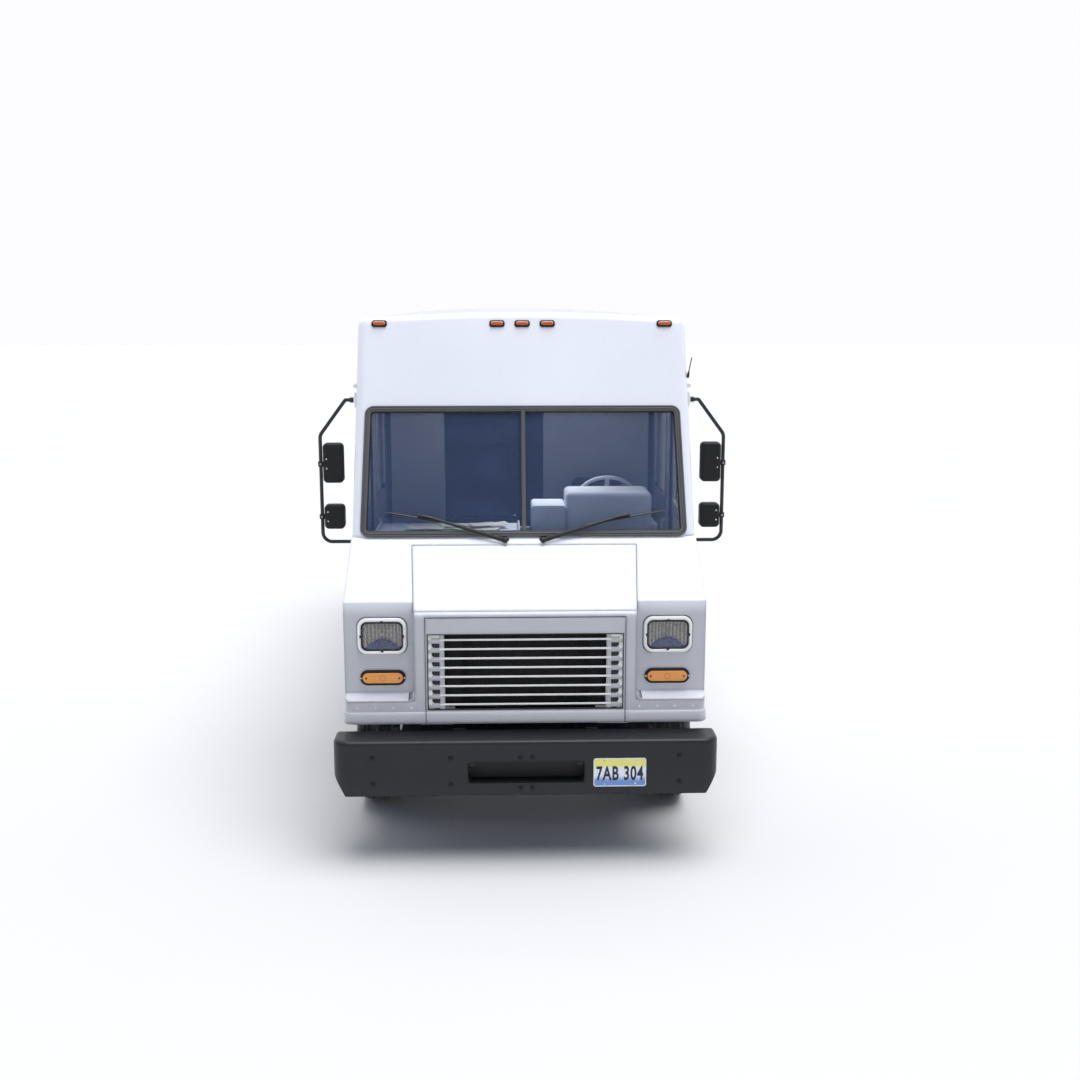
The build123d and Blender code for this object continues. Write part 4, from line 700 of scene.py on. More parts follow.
class VanColours(bpy.types.PropertyGroup):
    """Colours of the van's finishes."""
    body: tint("Body", (0.83, 0.845, 0.90), "Gel coat and sheet of the body")
    bumper: tint("Bumper", (0.015, 0.016, 0.020), "Satin paint of the front bumper")
    chassis: tint("Chassis", (0.022, 0.022, 0.024), "Paint of the frame, tank and step")
    trim: tint("Trim", (0.008, 0.008, 0.009), "Mirrors, arms and lamp bases")
    louvre: tint("Louvres", (0.84, 0.83, 0.80), "Grille slats and their end blocks")
    gasket: tint("Gasket", (0.085, 0.085, 0.09), "Rubber round the windshield")
    amber: tint("Amber lens", (0.92, 0.34, 0.045), "Front and side lamps")
    clearance: tint("Clearance lens", (0.55, 0.105, 0.012), "Lamps over the windshield")
    red: tint("Red lens", (0.48, 0.02, 0.015), "Rear lamps")
    glass: tint("Glass tint", (0.062, 0.092, 0.185), "Body colour of the panes")
    dash: tint("Dash", (0.74, 0.80, 0.92), "Instrument pod and tray")
    vinyl: tint("Vinyl", (0.06, 0.065, 0.08), "Driver's seat")
    rim: tint("Rims", (0.78, 0.79, 0.82), "Paint of the disc wheels")
    floor: tint("Studio floor", (0.68, 0.68, 0.685), "Ground that the van stands on")


class VanSizes(bpy.types.PropertyGroup):
    """Sizes of the van's details."""
    rivet: size("Rivet radius", 0.0042, "Radius of a rivet head on the body")
    rivet_pitch: size("Rivet pitch", 0.075, "Distance between rivets along a seam")
    tread: size("Tread depth", 0.011, "Depth of the grooves in a tyre")
    slat: size("Slat height", 0.0125, "Height of the front lip of a grille slat")
    bead: size("Gasket bead", 0.011, "Width of the beads on the windshield gasket")
    flute: size("Flute pitch", 0.021, "Distance between the flutes of a headlamp lens")


class VanStage(bpy.types.PropertyGroup):
    """Camera and light."""
    key: bpy.props.FloatProperty(name="Key light", default=3.0,
                                 description="Strength of the overhead light")
    cab: bpy.props.FloatProperty(name="Cab light", default=5.5,
                                 description="Power of the light in the cab")
    lens: bpy.props.FloatProperty(name="Lens", default=42.83,
                                  description="Focal length in millimetres")
    distance: size("Distance", 7.068, "From the camera to the bumper's face, along the van")
    height: size("Height", 3.238, "Camera above the ground")
    aside: size("Aside", -0.125, "Camera across the van")
    pitch: bpy.props.FloatProperty(name="Pitch", default=math.radians(10.5), subtype="ANGLE",
                                   description="How far the camera looks down")
    yaw: bpy.props.FloatProperty(name="Yaw", default=math.radians(1.65), subtype="ANGLE",
                                 description="How far the camera looks to the driver's side")


FINISH = {}
SLOT_OF = {part["node"]: part["material_slot"] for part in frame["record"]["subparts"]}


def dress(nodes, finish):
    """Gives CAD nodes a finish."""
    for node in nodes:
        mesh = frame["nodes"][node].data
        mesh.materials.clear()
        mesh.materials.append(finish)


class StepVanOperator(bpy.types.Operator):
    """Base of the van's operators."""
    bl_options = {"REGISTER", "UNDO"}

    def execute(self, context):
        van = context.scene.van_sizes
        paint = context.scene.van_colours
        self.make(context, van, paint)
        return {"FINISHED"}


class STEPVAN_OT_finishes(StepVanOperator):
    """Make the finishes and give them to the frame's nodes"""
    bl_idname = "stepvan.finishes"
    bl_label = "Finishes"

    def make(self, context, van, paint):
        cab_pane = ("y", (station(1.651), station(2.249)), (1.911, 2.549))
        rear_pane = ("x", (0.251, 0.709), (2.091, 2.509))
        FINISH.update({
            # The gel coat's 0.38 is the strength of the painted shade on the nose's upright faces.
            "white_body": white_finish("gel_coat", paint.body, 0.0006, 40.0, 0.15, 0.38, 0.034),
            "white_sheet": white_finish("painted_sheet", paint.body, 0.0003, 70.0, 0.35, roof=0.45),
            "cab_door": windowed_finish("cab_door_sheet", paint.body, paint.glass, [cab_pane]),
            "rear_door": windowed_finish("rear_door_sheet", paint.body, paint.glass, [rear_pane]),
            "chassis_black": plain_finish("chassis_paint", paint.chassis, 0.5, dirt=0.8, scratch=0.2),
            "bumper_charcoal": plain_finish("bumper_paint", paint.bumper, 0.42, 90.0, 0.0003, 0.14,
                                            dirt=0.06, dirt_top=0.6, coat=0.08, scratch=0.05,
                                            soft=0.016, shine=0.3),
            "bare_steel": metal_finish("worn_steel", (0.42, 0.42, 0.43), 0.42, rust=0.5),
            "zinc": metal_finish("zinc_plate", (0.030, 0.032, 0.038), 0.55),
            "tyre_rubber": tyre_finish((0.018, 0.018, 0.019)),
            "rim_paint": plain_finish("rim_paint", paint.rim, 0.38, 80.0, 0.0002, 0.05, coat=0.2,
                                      dirt=0.7, dirt_top=0.75),
            "cast_grey": plain_finish("cast_iron", (0.11, 0.105, 0.1), 0.62, 70.0, 0.0009, 0.3,
                                      metal=0.5, dirt=0.6),
            "radiator_dark": fin_finish((0.028, 0.028, 0.03)),
            "fan_plastic": plain_finish("fan_plastic", (0.02, 0.02, 0.02), 0.5, 150.0),
            "louvre_paint": plain_finish("louvre_paint", paint.louvre, 0.35, 130.0, 0.0001, 0.07, coat=0.2),
            "lamp_ring": plain_finish("lamp_ring_plastic", (0.86, 0.86, 0.85), 0.34, 140.0, 0.0001, 0.06,
                                      coat=0.3),
            "clear_lens": lens_finish("headlamp_glass", (0.20, 0.195, 0.185), 0.06, 0.02, alpha=0.24),
            "black_trim": plain_finish("grained_black", paint.trim, 0.5, 260.0, 0.0003, 0.2,
                                       soft=0.012, shine=0.3),
            "amber_lens": lens_finish("amber_lens", paint.amber),
            "red_lens": lens_finish("red_lens", paint.red),
            "gasket_rubber": plain_finish("gasket_rubber", paint.gasket, 0.55, 200.0, 0.0002, 0.12),
            "lip_rubber": plain_finish("lip_rubber", (0.012, 0.012, 0.013), 0.6, 200.0, 0.0002, 0.1),
            "tinted_glass": glass_finish("windshield_tint", paint.glass, 0.31),
            "alu_trim": metal_finish("mill_aluminium", (0.72, 0.73, 0.75), 0.38, (0.2, 1.0, 3.0)),
            "dash_plastic": plain_finish("dash_plastic", paint.dash, 0.55, 170.0, 0.0005, 0.16, soft=0.03),
            "wheel_grip": plain_finish("wheel_grip", (0.80, 0.84, 0.92), 0.4, 180.0, 0.0003, 0.1),
            "floor_sheet": tread_plate_finish((0.22, 0.22, 0.225)),
            "seat_vinyl": vinyl_finish(paint.vinyl),
            "lever_black": plain_finish("satin_black", (0.016, 0.016, 0.017), 0.4, 160.0, 0.0002, 0.15),
            "clearance_lens": lens_finish("clearance_lens", paint.clearance, 0.2),
            # The reflector's bowl gets a painted blue reflection and painted glints on its facets.
            "reflector": reflector_finish((0.62, 0.59, 0.54), LAMP_X, LAMP_Z - 0.028),
            "zinc_screw": metal_finish("dull_screw", (0.32, 0.32, 0.33), 0.4),
            "chrome": metal_finish("bright_screw", (0.75, 0.75, 0.76), 0.2),
            "paper": paper_finish(),
            "screw_white": plain_finish("white_screw", (0.8, 0.8, 0.8), 0.35, 200.0),
            "plate_paint": plate_finish(*(corners("licence_plate")[k][2] for k in (0, 1))),
            "plate_ink": plain_finish("plate_ink", (0.008, 0.012, 0.035), 0.35, 300.0, 0.0001, 0.1),
            "plate_white": plain_finish("plate_white", (0.82, 0.82, 0.83), 0.35, 300.0, 0.0001, 0.05),
        })
        for node, slot in SLOT_OF.items():
            dress([node], FINISH[slot])
        dress(["cab_door_left", "cab_door_right"], FINISH["cab_door"])
        dress(["rear_door_left", "rear_door_right"], FINISH["rear_door"])


class STEPVAN_OT_grille(StepVanOperator):
    """Make the grille's slats, end blocks, black pieces of painted shade in the blocks' holes, side strips
    and dark seams
    """
    bl_idname = "stepvan.grille"
    bl_label = "Grille"

    def make(self, context, van, paint):
        high = corners("grille_louvres")[1]
        pitch = 0.056
        rows = 8
        face = GRILLE_LOW[1]
        lip = van.slat
        patches, blocks, hole_shades = [], [], []
        inner, outer = high[0] + 0.024, GRILLE_HIGH[0] - 0.012
        foot, head = GRILLE_LOW[2] + 0.087, GRILLE_HIGH[2] - 0.100
        arc = np.linspace(-math.pi / 2, math.pi / 2, 13)
        for row in range(rows):
            z = high[2] - 0.006 - row * pitch
            nose = np.stack([face + 0.010 - 0.004 * np.cos(arc), z + lip / 2 * np.sin(arc)], -1)
            blade = np.concatenate([nose, [[face + 0.036, z + lip / 2 - 0.0085],
                                           [face + 0.036, z + lip / 2 - 0.0115],
                                           [face + 0.014, z - lip / 2 + 0.001]]])
            patches.append(extruded(blade, -outer + 0.002, outer - 0.002))
            for side in (-1, 1):
                x0, x1 = side * (inner + 0.050), side * outer
                top = min(z + 0.035, head)
                step = np.array([[face + 0.0045, z + 0.001], [face + 0.0045, z + 0.013],
                                 [face + 0.0075, z + 0.020], [face + 0.010, top],
                                 [face + 0.022, top], [face + 0.022, z + 0.001]])
                blocks.append(extruded(step, min(x0, x1), max(x0, x1)))
                # Painted shade: a black D-shaped piece fills each hole beside an end block, standing in for
                # the shade inside the hole.
                low_z, high_z = max(z - 0.049, foot + 0.002), z - 0.007
                mid_z, half_z = (low_z + high_z) / 2, (high_z - low_z) / 2
                flat = np.stack([inner + 0.027 + 0.020 * np.cos(arc), mid_z + half_z * np.sin(arc)], -1)
                rim = np.concatenate([flat, [[inner + 0.001, high_z], [inner + 0.001, low_z]]])
                grid = []
                for depth, scale in ((0.0098, 0), (0.0098, 1), (0.024, 1), (0.024, 0)):
                    shape = rim.mean(0) + (rim - rim.mean(0)) * scale
                    level = np.full(len(shape), face + depth)
                    grid.append(np.stack([side * shape[:, 0], level, shape[:, 1]], -1))
                hole_shades.append((np.stack(grid), False, True))
        for side in (-1, 1):
            blocks.append(bar((side * (inner - 0.026), face + 0.012, foot),
                              (side * outer, face + 0.022, head)))
        piece("grille_slats", patches, "van", FINISH["louvre_paint"], ["grille_louvres"])
        piece("grille_end_blocks", blocks, "van", FINISH["louvre_paint"])
        piece("grille_hole_shades", hole_shades, "van", FINISH["lip_rubber"])
        strips, shade = [], []
        for side in (-1, 1):
            x = side * (high[0] + 0.012)
            strips.append(bar((x - 0.0105, face + 0.0105, GRILLE_LOW[2] + 0.088),
                              (x + 0.0095, face + 0.020, GRILLE_HIGH[2] - 0.101)))
            core = side * (high[0] - 0.004)
            shade.append(bar((core, face + 0.052, foot + 0.002),
                             (core - side * 0.100, face + 0.058, head - 0.002)))
        piece("grille_shades", shade, "van", FINISH["radiator_dark"])
        piece("grille_strips", strips, "van", FINISH["louvre_paint"])
        dark = []
        x, top, foot = GRILLE_HIGH[0] + 0.0015, GRILLE_HIGH[2] + 0.0015, GRILLE_LOW[2]
        for side in (-1, 1):
            dark.append(bar((side * x - 0.0016, face - 0.0006, foot),
                            (side * x + 0.0016, face + 0.012, top)))
        dark.append(bar((-x, face - 0.0006, top - 0.0016), (x, face + 0.012, top + 0.0016)))
        opening_low, opening_high = GRILLE_LOW[2] + 0.086, GRILLE_HIGH[2] - 0.099
        inner_x = GRILLE_HIGH[0] - 0.012
        for side in (-1, 1):
            dark.append(bar((side * inner_x - 0.003, face - 0.0012, opening_low),
                            (side * inner_x + 0.003, face + 0.010, opening_high)))
        for z in (opening_low, opening_high):
            dark.append(bar((-inner_x, face - 0.0012, z - 0.003), (inner_x, face + 0.010, z + 0.003)))
        piece("grille_seams", dark, "van", FINISH["lip_rubber"])


class STEPVAN_OT_nose_trim(StepVanOperator):
    """Make the nose's lower band, its rivets and the rims of the lamp pockets"""
    bl_idname = "stepvan.nose_trim"
    bl_label = "Nose trim"

    def make(self, context, van, paint):
        top, foot = NOSE_LOW[2] + 0.071, NOSE_LOW[2] + 0.001
        proud, radius = 0.009, 0.050
        turn = np.linspace(0, math.pi / 2, 10)
        patches = []
        rear = station(0.612)
        for side in (-1, 1):
            corner_x, corner_y = NOSE_HIGH[0] - radius, NOSE_FACE + radius
            arc = np.stack([corner_x + radius * np.sin(turn), corner_y - radius * np.cos(turn)], -1)
            normal = np.stack([np.sin(turn), -np.cos(turn)], -1)
            start = [[GRILLE_HIGH[0] + 0.004, NOSE_FACE]]
            end = [[NOSE_HIGH[0], rear]]
            path = np.concatenate([start, arc, end])
            normal = np.concatenate([[[0, -1]], normal, [[1, 0]]])
            section = np.array([(-0.004, top + 0.004), (0.001, top + 0.002), (proud * 0.7, top - 0.004),
                                (proud, top - 0.012), (proud, foot + 0.004), (proud * 0.6, foot),
                                (-0.004, foot)])
            flat = path[:, None] + normal[:, None] * section[None, :, :1]
            grid = np.concatenate([flat, np.repeat(section[None, :, 1:], len(path), 0)], -1)
            grid[..., 0] *= side
            patches.append(capped(grid))
        rims = []
        wall_x, ledge, reach = 0.650, 0.928, 0.045
        bend = np.linspace(math.pi, 1.5 * math.pi, 12)
        curve = np.stack([wall_x + reach * (1 + np.cos(bend)), ledge + reach * (1 + np.sin(bend))], -1)
        for side in (-1, 1):
            grid = []
            shape = np.concatenate([curve, [[wall_x - 0.002, ledge - 0.002]]])
            for back, lift, scale in ((0.0, 0.0, 0), (0.0, 0.0, 1), (0.0695, 0.0345, 1),
                                      (0.0695, 0.0345, 0)):
                flat = shape[-1] + (shape - shape[-1]) * scale
                grid.append(np.stack([side * flat[:, 0], np.full(len(flat), NOSE_FACE + 0.0005 + back),
                                      flat[:, 1] + lift], -1))
            rims.append((np.stack(grid), False, True))
            edge = np.concatenate([[[wall_x, 1.415]], curve, [[NOSE_HIGH[0] - 0.012, ledge]]])
            path = np.stack([side * edge[:, 0], np.full(len(edge), NOSE_FACE + 0.0052), edge[:, 1]], -1)
            rims.append(tube(path, 0.0066, 16, (0.0, 1.0, 0.0)))
        piece("lamp_pocket_rims", rims, "van", FINISH["white_body"])
        half = GRILLE_HIGH[0] - 0.001
        face = GRILLE_LOW[1]
        section = [(face + 0.002, top + 0.004), (face - 0.001, top + 0.002),
                   (face - proud * 0.7, top - 0.004), (face - proud, top - 0.012),
                   (face - proud, foot + 0.004), (face - proud * 0.6, foot), (face + 0.002, foot)]
        patches.append(extruded(section, -half, half))
        piece("nose_band", patches, "van", FINISH["white_body"])
        places = [(side * x, NOSE_FACE, NOSE_LOW[2] + 0.097) for side in (-1, 1)
                  for x in (0.672, 0.779, 0.882, 0.989)]
        stud_piece("nose_rivets", places, [(0, -1, 0)] * len(places), 0.006, 0.003, "van",
                   FINISH["screw_white"], 12)


class STEPVAN_OT_bumper_slot(StepVanOperator):
    """Make the black pocket behind the bumper's slot, painted shade inside the slot, with its two tabs"""
    bl_idname = "stepvan.bumper_slot"
    bl_label = "Bumper slot"

    def make(self, context, van, paint):
        centre = np.array((0.0, BUMPER_FACE, 0.559))
        # Painted shade: a black cup behind the slot stands in for the shade inside the bumper.
        pocket = dome(outline(0.3405, 0.0650, 0.030, 64), centre, ACROSS, UP, FORWARD,
                      [(0.0, -0.105), (1.0, -0.105), (1.0, -0.006), (0.992, -0.006), (0.985, -0.100),
                       (0.0, -0.100)])
        tabs = [bar((side * 0.296, BUMPER_FACE + 0.010, 0.598), (side * 0.326, BUMPER_FACE + 0.022, 0.621))
                for side in (-1, 1)]
        piece("bumper_slot_shade", [pocket, *tabs], "van", FINISH["lip_rubber"])


class STEPVAN_OT_headlamps(StepVanOperator):
    """Make the headlamps: ring, clips, fluted lens, reflector, bulb and bucket"""
    bl_idname = "stepvan.headlamps"
    bl_label = "Headlamps"

    def make(self, context, van, paint):
        half_w, half_h = 0.1225, 0.0835
        pocket = RING_LOW[1] + 0.022
        rings, gaskets, lenses, bowls, bulbs, clips, cans = [], [], [], [], [], [], []
        for side in (-1, 1):
            centre = np.array((side * LAMP_X, pocket, LAMP_Z))
            path = outline(half_w + 0.010, half_h + 0.014, 0.045, 96)
            section = [(-0.010, 0.0), (-0.009, 0.016), (-0.004, 0.021), (0.004, 0.0215), (0.0095, 0.018),
                       (0.012, 0.011), (0.0125, 0.0), (0.004, -0.001)]
            rings.append(bead(path, centre, ACROSS, UP, FORWARD, section))
            gaskets.append(bead(outline(half_w + 0.024, half_h + 0.028, 0.054, 96), centre, ACROSS, UP,
                                FORWARD, [(-0.003, -0.001), (-0.002, 0.003), (0.0, 0.0045), (0.0015, 0.003),
                                          (0.002, -0.001)]))
            gaskets.append(bead(outline(half_w - 0.003, half_h - 0.002, 0.034, 96), centre, ACROSS, UP,
                                FORWARD, [(-0.006, 0.004), (-0.0055, 0.0135), (-0.002, 0.0175),
                                          (0.003, 0.0175), (0.006, 0.014), (0.006, 0.004)]))
            a, b = np.meshgrid(np.linspace(-1, 1, 121), np.linspace(-1, 1, 61), indexing="ij")
            w, h, r = half_w - 0.002, half_h - 0.002, 0.032
            x, z = a * w, b * h
            over_x, over_z = np.abs(x) - (w - r), np.abs(z) - (h - r)
            corner = (over_x > 0) & (over_z > 0)
            reach = np.hypot(over_x, over_z)
            shrink = np.where(corner, np.maximum(over_x, over_z) / np.maximum(reach, 1e-9), 1.0)
            x = np.where(corner, np.sign(x) * (w - r + over_x * shrink), x)
            z = np.where(corner, np.sign(z) * (h - r + over_z * shrink), z)
            bulge = 0.010 * (1 - (x / w) ** 2 * 0.6 - (z / h) ** 2 * 0.4)
            edge = np.clip((1 - np.maximum(np.abs(a), np.abs(b))) * 12, 0, 1)
            cut = (np.abs(x) > w * 0.30) | (z < -h * 0.2)
            flute = 0.0009 * np.cos(x * 2 * math.pi / van.flute) * edge * np.where(cut, 1.0, 0.35)
            rise = 0.011 + bulge + flute
            grid = centre + x[..., None] * ACROSS + z[..., None] * UP + rise[..., None] * FORWARD
            lenses.append((grid, False, False))
            s = np.linspace(0, 1, 24)[:, None]
            depth = -0.052 + 0.058 * s ** 2
            ring = outline(half_w - 0.003, half_h - 0.003, 0.034, 96)
            flat = ring[None] * s[..., None]
            bowl = centre + flat[..., :1] * ACROSS + flat[..., 1:] * UP
            bowls.append((bowl + depth[..., None] * FORWARD, False, True))
            bulbs.append(turned([(0, 0), (0, 0.010), (0.012, 0.0105), (0.026, 0.0085), (0.032, 0.004),
                                 (0.033, 0)], centre - 0.050 * FORWARD, FORWARD, 20))
            can = [(0.0, -0.060), (1.0, -0.060), (1.0, 0.002), (0.97, 0.002), (0.97, -0.056), (0.0, -0.056)]
            cans.append(dome(outline(half_w + 0.003, half_h + 0.003, 0.036, 64), centre, ACROSS, UP,
                             FORWARD, can))
            for cx, cz, wide in ((0, half_h + 0.005, 1), (0, -half_h - 0.005, 1), (half_w + 0.002, 0, 0),
                                 (-half_w - 0.002, 0, 0)):
                spot = centre + cx * ACROSS + cz * UP + 0.018 * FORWARD
                w1, h1 = (0.008, 0.006) if wide else (0.006, 0.008)
                clips.append(inset_dome(w1, h1, 0.002, spot, ACROSS, UP, FORWARD,
                                        [(0.1, 0), (0, 0), (0, 0.004), (0.001, 0.0055), (0.1, 0.006)], 24))
        piece("headlamp_ring", rings, "van", FINISH["lamp_ring"], ["headlamp_rings"])
        piece("headlamp_gasket", gaskets, "van", FINISH["lip_rubber"])
        lens = piece("headlamp_lens", lenses, "van", FINISH["clear_lens"],
                     ["headlamp_lenses"])
        thickened(lens, 0.003, -1)
        thickened(piece("headlamp_reflector", bowls, "van", FINISH["reflector"]), 0.0015)
        piece("headlamp_bulb", bulbs, "van", FINISH["plate_white"])
        piece("headlamp_clips", clips, "van", FINISH["lip_rubber"])
        piece("headlamp_bucket", cans, "van", FINISH["black_trim"])


class STEPVAN_OT_signals(StepVanOperator):
    """Make the lenses of turn signals, clearance lamps, side markers and tail lamps"""
    bl_idname = "stepvan.signals"
    bl_label = "Signal lenses"

    def make(self, context, van, paint):
        z_signal = LAMP_Z - 0.253
        face = station(0.270) - 0.009
        amber, marks, dark, white, red, bezels, upper = [], [], [], [], [], [], []
        for side in (-1, 1):
            centre = np.array((side * LAMP_X, face, z_signal))
            amber.append(inset_dome(0.119, 0.0315, 0.0315, centre, ACROSS, UP, FORWARD,
                                    [(0.03, 0.0), (0.0, 0.0), (0.0, 0.008), (0.0015, 0.0105),
                                     (0.005, 0.0118), (0.018, 0.0125), (0.0312, 0.0128)], 64))
            dark.append(bead(outline(0.1265, 0.038, 0.038, 64), centre, ACROSS, UP, FORWARD,
                             [(-0.0065, 0.0), (-0.006, 0.0065), (-0.002, 0.009), (0.003, 0.0085),
                              (0.0068, 0.004), (0.0072, 0.0)]))
            marks.append(bead(outline(0.016, 0.016, 0.016, 40), centre + 0.0123 * FORWARD, ACROSS, UP,
                              FORWARD, [(-0.0016, -0.001), (-0.0010, 0.0010), (0.0010, 0.0010),
                                        (0.0016, -0.001)]))
            for end in (-1, 1):
                spot = centre + end * 0.098 * ACROSS + 0.0115 * FORWARD
                dark.append(inset_dome(0.006, 0.006, 0.006, spot, ACROSS, UP, FORWARD,
                                       [(0.1, -0.001), (0, -0.001), (0, 0.0015), (0.0012, 0.0022),
                                        (0.1, 0.0022)], 20))
                spot = centre + end * 0.1275 * ACROSS + 0.004 * FORWARD
                white.append(inset_dome(0.0045, 0.0045, 0.0045, spot, ACROSS, UP, FORWARD,
                                        [(0.1, 0), (0, 0), (0, 0.005), (0.0012, 0.006), (0.1, 0.0062)], 20))
        wall = FOLD + (3.100 - FOLD[2]) / math.cos(RAKE) * UP_GLASS
        for x in (-WALL_X + 0.139, -0.16, 0.0, 0.16, WALL_X - 0.139):
            centre = wall + x * ACROSS
            upper.append(inset_dome(0.040, 0.0145, 0.0125, centre, ACROSS, UP_GLASS, OFF_GLASS,
                                    [(0.02, 0.006), (0.0, 0.006), (0.0008, 0.014), (0.003, 0.019),
                                     (0.008, 0.0215), (0.0142, 0.022)], 40))
            bezels.append(bead(outline(0.0445, 0.0185, 0.0145, 48), centre, ACROSS, UP_GLASS, OFF_GLASS,
                               [(-0.0045, 0.002), (-0.004, 0.010), (0.0, 0.0115), (0.0038, 0.009),
                                (0.0048, 0.002), (0.0, 0.001)]))
            for end in (-1, 1):
                spot = centre + end * 0.034 * ACROSS + 0.0195 * OFF_GLASS
                white.append(inset_dome(0.003, 0.003, 0.003, spot, ACROSS, UP_GLASS, OFF_GLASS,
                                        [(0.1, 0), (0, 0), (0, 0.0015), (0.001, 0.002), (0.1, 0.002)], 16))
        for side in (-1, 1):
            out = side * ACROSS
            centre = np.array((side * (NOSE_HIGH[0] + 0.004), station(0.480), 1.050))
            amber.append(inset_dome(0.047, 0.018, 0.018, centre, BACK, UP, out,
                                    [(0.017, 0.0), (0.0, 0.0), (0.0, 0.004), (0.002, 0.007),
                                     (0.008, 0.0085), (0.0178, 0.009)], 40))
            tail = np.array((side * (WALL_X - 0.047), BOX_REAR + 0.004, 1.120))
            red.append(inset_dome(0.034, 0.071, 0.012, tail, ACROSS, UP, BACK,
                                  [(0.03, -0.002), (0, -0.002), (0, 0.010), (0.002, 0.014),
                                   (0.010, 0.0158), (0.0338, 0.016)], 48))
        for x, z in ((-0.16, 3.09), (0, 3.09), (0.16, 3.09), (-0.908, 3.07), (0.908, 3.07)):
            centre = np.array((x, BOX_REAR, z))
            red.append(inset_dome(0.043, 0.0155, 0.012, centre, ACROSS, UP, BACK,
                                  [(0.015, -0.001), (0, -0.001), (0, 0.010), (0.002, 0.015),
                                   (0.008, 0.0175), (0.0152, 0.018)], 40))
        piece("amber_lenses", amber, "van", FINISH["amber_lens"], ["lamp_lenses"])
        piece("clearance_lenses", upper, "van", FINISH["clearance_lens"])
        piece("signal_circles", marks, "van", FINISH["clearance_lens"])
        piece("signal_bezels", dark + bezels, "van", FINISH["black_trim"])
        piece("lamp_screws", white, "van", FINISH["screw_white"])
        piece("red_lenses", red, "van", FINISH["red_lens"])


class STEPVAN_OT_plate(StepVanOperator):
    """Make the embossed licence plate with made-up characters"""
    bl_idname = "stepvan.plate"
    bl_label = "Licence plate"

    def make(self, context, van, paint):
        low, high = corners("licence_plate")
        mid = (low + high) / 2
        centre = np.array((mid[0], low[1] + 0.0045, mid[2]))
        half_w, half_h = (high[0] - low[0]) / 2, (high[2] - low[2]) / 2
        sheet = [(0.08, -0.0020), (0.0, -0.0020), (0.0, 0.0002), (0.0006, 0.0010), (0.0035, 0.0012),
                 (0.0045, 0.0004), (0.0060, 0.0), (0.0855, 0.0)]
        piece("plate_sheet", [inset_dome(half_w, half_h, 0.014, centre, ACROSS, UP, FORWARD, sheet, 64)],
              "van", FINISH["plate_paint"], ["licence_plate"])
        border = bead(outline(half_w - 0.0025, half_h - 0.0025, 0.012, 96), centre, ACROSS, UP, FORWARD,
                      [(-0.0028, 0.0), (-0.002, 0.0014), (0.0018, 0.0016), (0.0026, 0.0006),
                       (0.0026, -0.0021)])
        piece("plate_border", [border], "van", FINISH["plate_white"])
        self.characters("plate_characters", "7AB 304", centre)
        heads = [(mid[0] + a * 0.089, low[1] + 0.0035, mid[2] + b * 0.070)
                 for a in (-1, 1) for b in (-1, 1)]
        stud_piece("plate_screws", heads, [(0, -1, 0)] * 4, 0.0062, 0.0030, "van",
                   FINISH["chrome"], 16)

    def characters(self, name, words, centre):
        """Raised lettering as one mesh, scaled to its width and height on the plate."""
        width, height, foot = 0.272, 0.088, -0.045
        curve = bpy.data.curves.new(name, "FONT")
        curve.body = words
        curve.align_x = "CENTER"
        curve.size = 1.0
        curve.extrude = 0.008
        curve.bevel_depth = 0.004
        curve.offset = 0.022
        curve.space_character = 1.12
        text = bpy.data.objects.new(name + "_draft", curve)
        bpy.context.scene.collection.objects.link(text)
        bpy.context.view_layer.update()
        graph = bpy.context.evaluated_depsgraph_get()
        mesh = bpy.data.meshes.new_from_object(text.evaluated_get(graph))
        bpy.data.objects.remove(text)
        co = points_of(mesh)
        low, high = co.min(0), co.max(0)
        flat = np.stack([(co[:, 0] - (high[0] + low[0]) / 2) * (width / (high[0] - low[0])),
                         co[:, 1] * (height / (high[1] - low[1])) + foot], -1)
        move_points(mesh, lifted(flat, centre, ACROSS, UP, FORWARD, (co[:, 2] + 0.012) * 0.06))
        weld_outward(mesh, 1e-6)
        mesh.materials.clear()
        placed(name, mesh, "van", FINISH["plate_ink"])


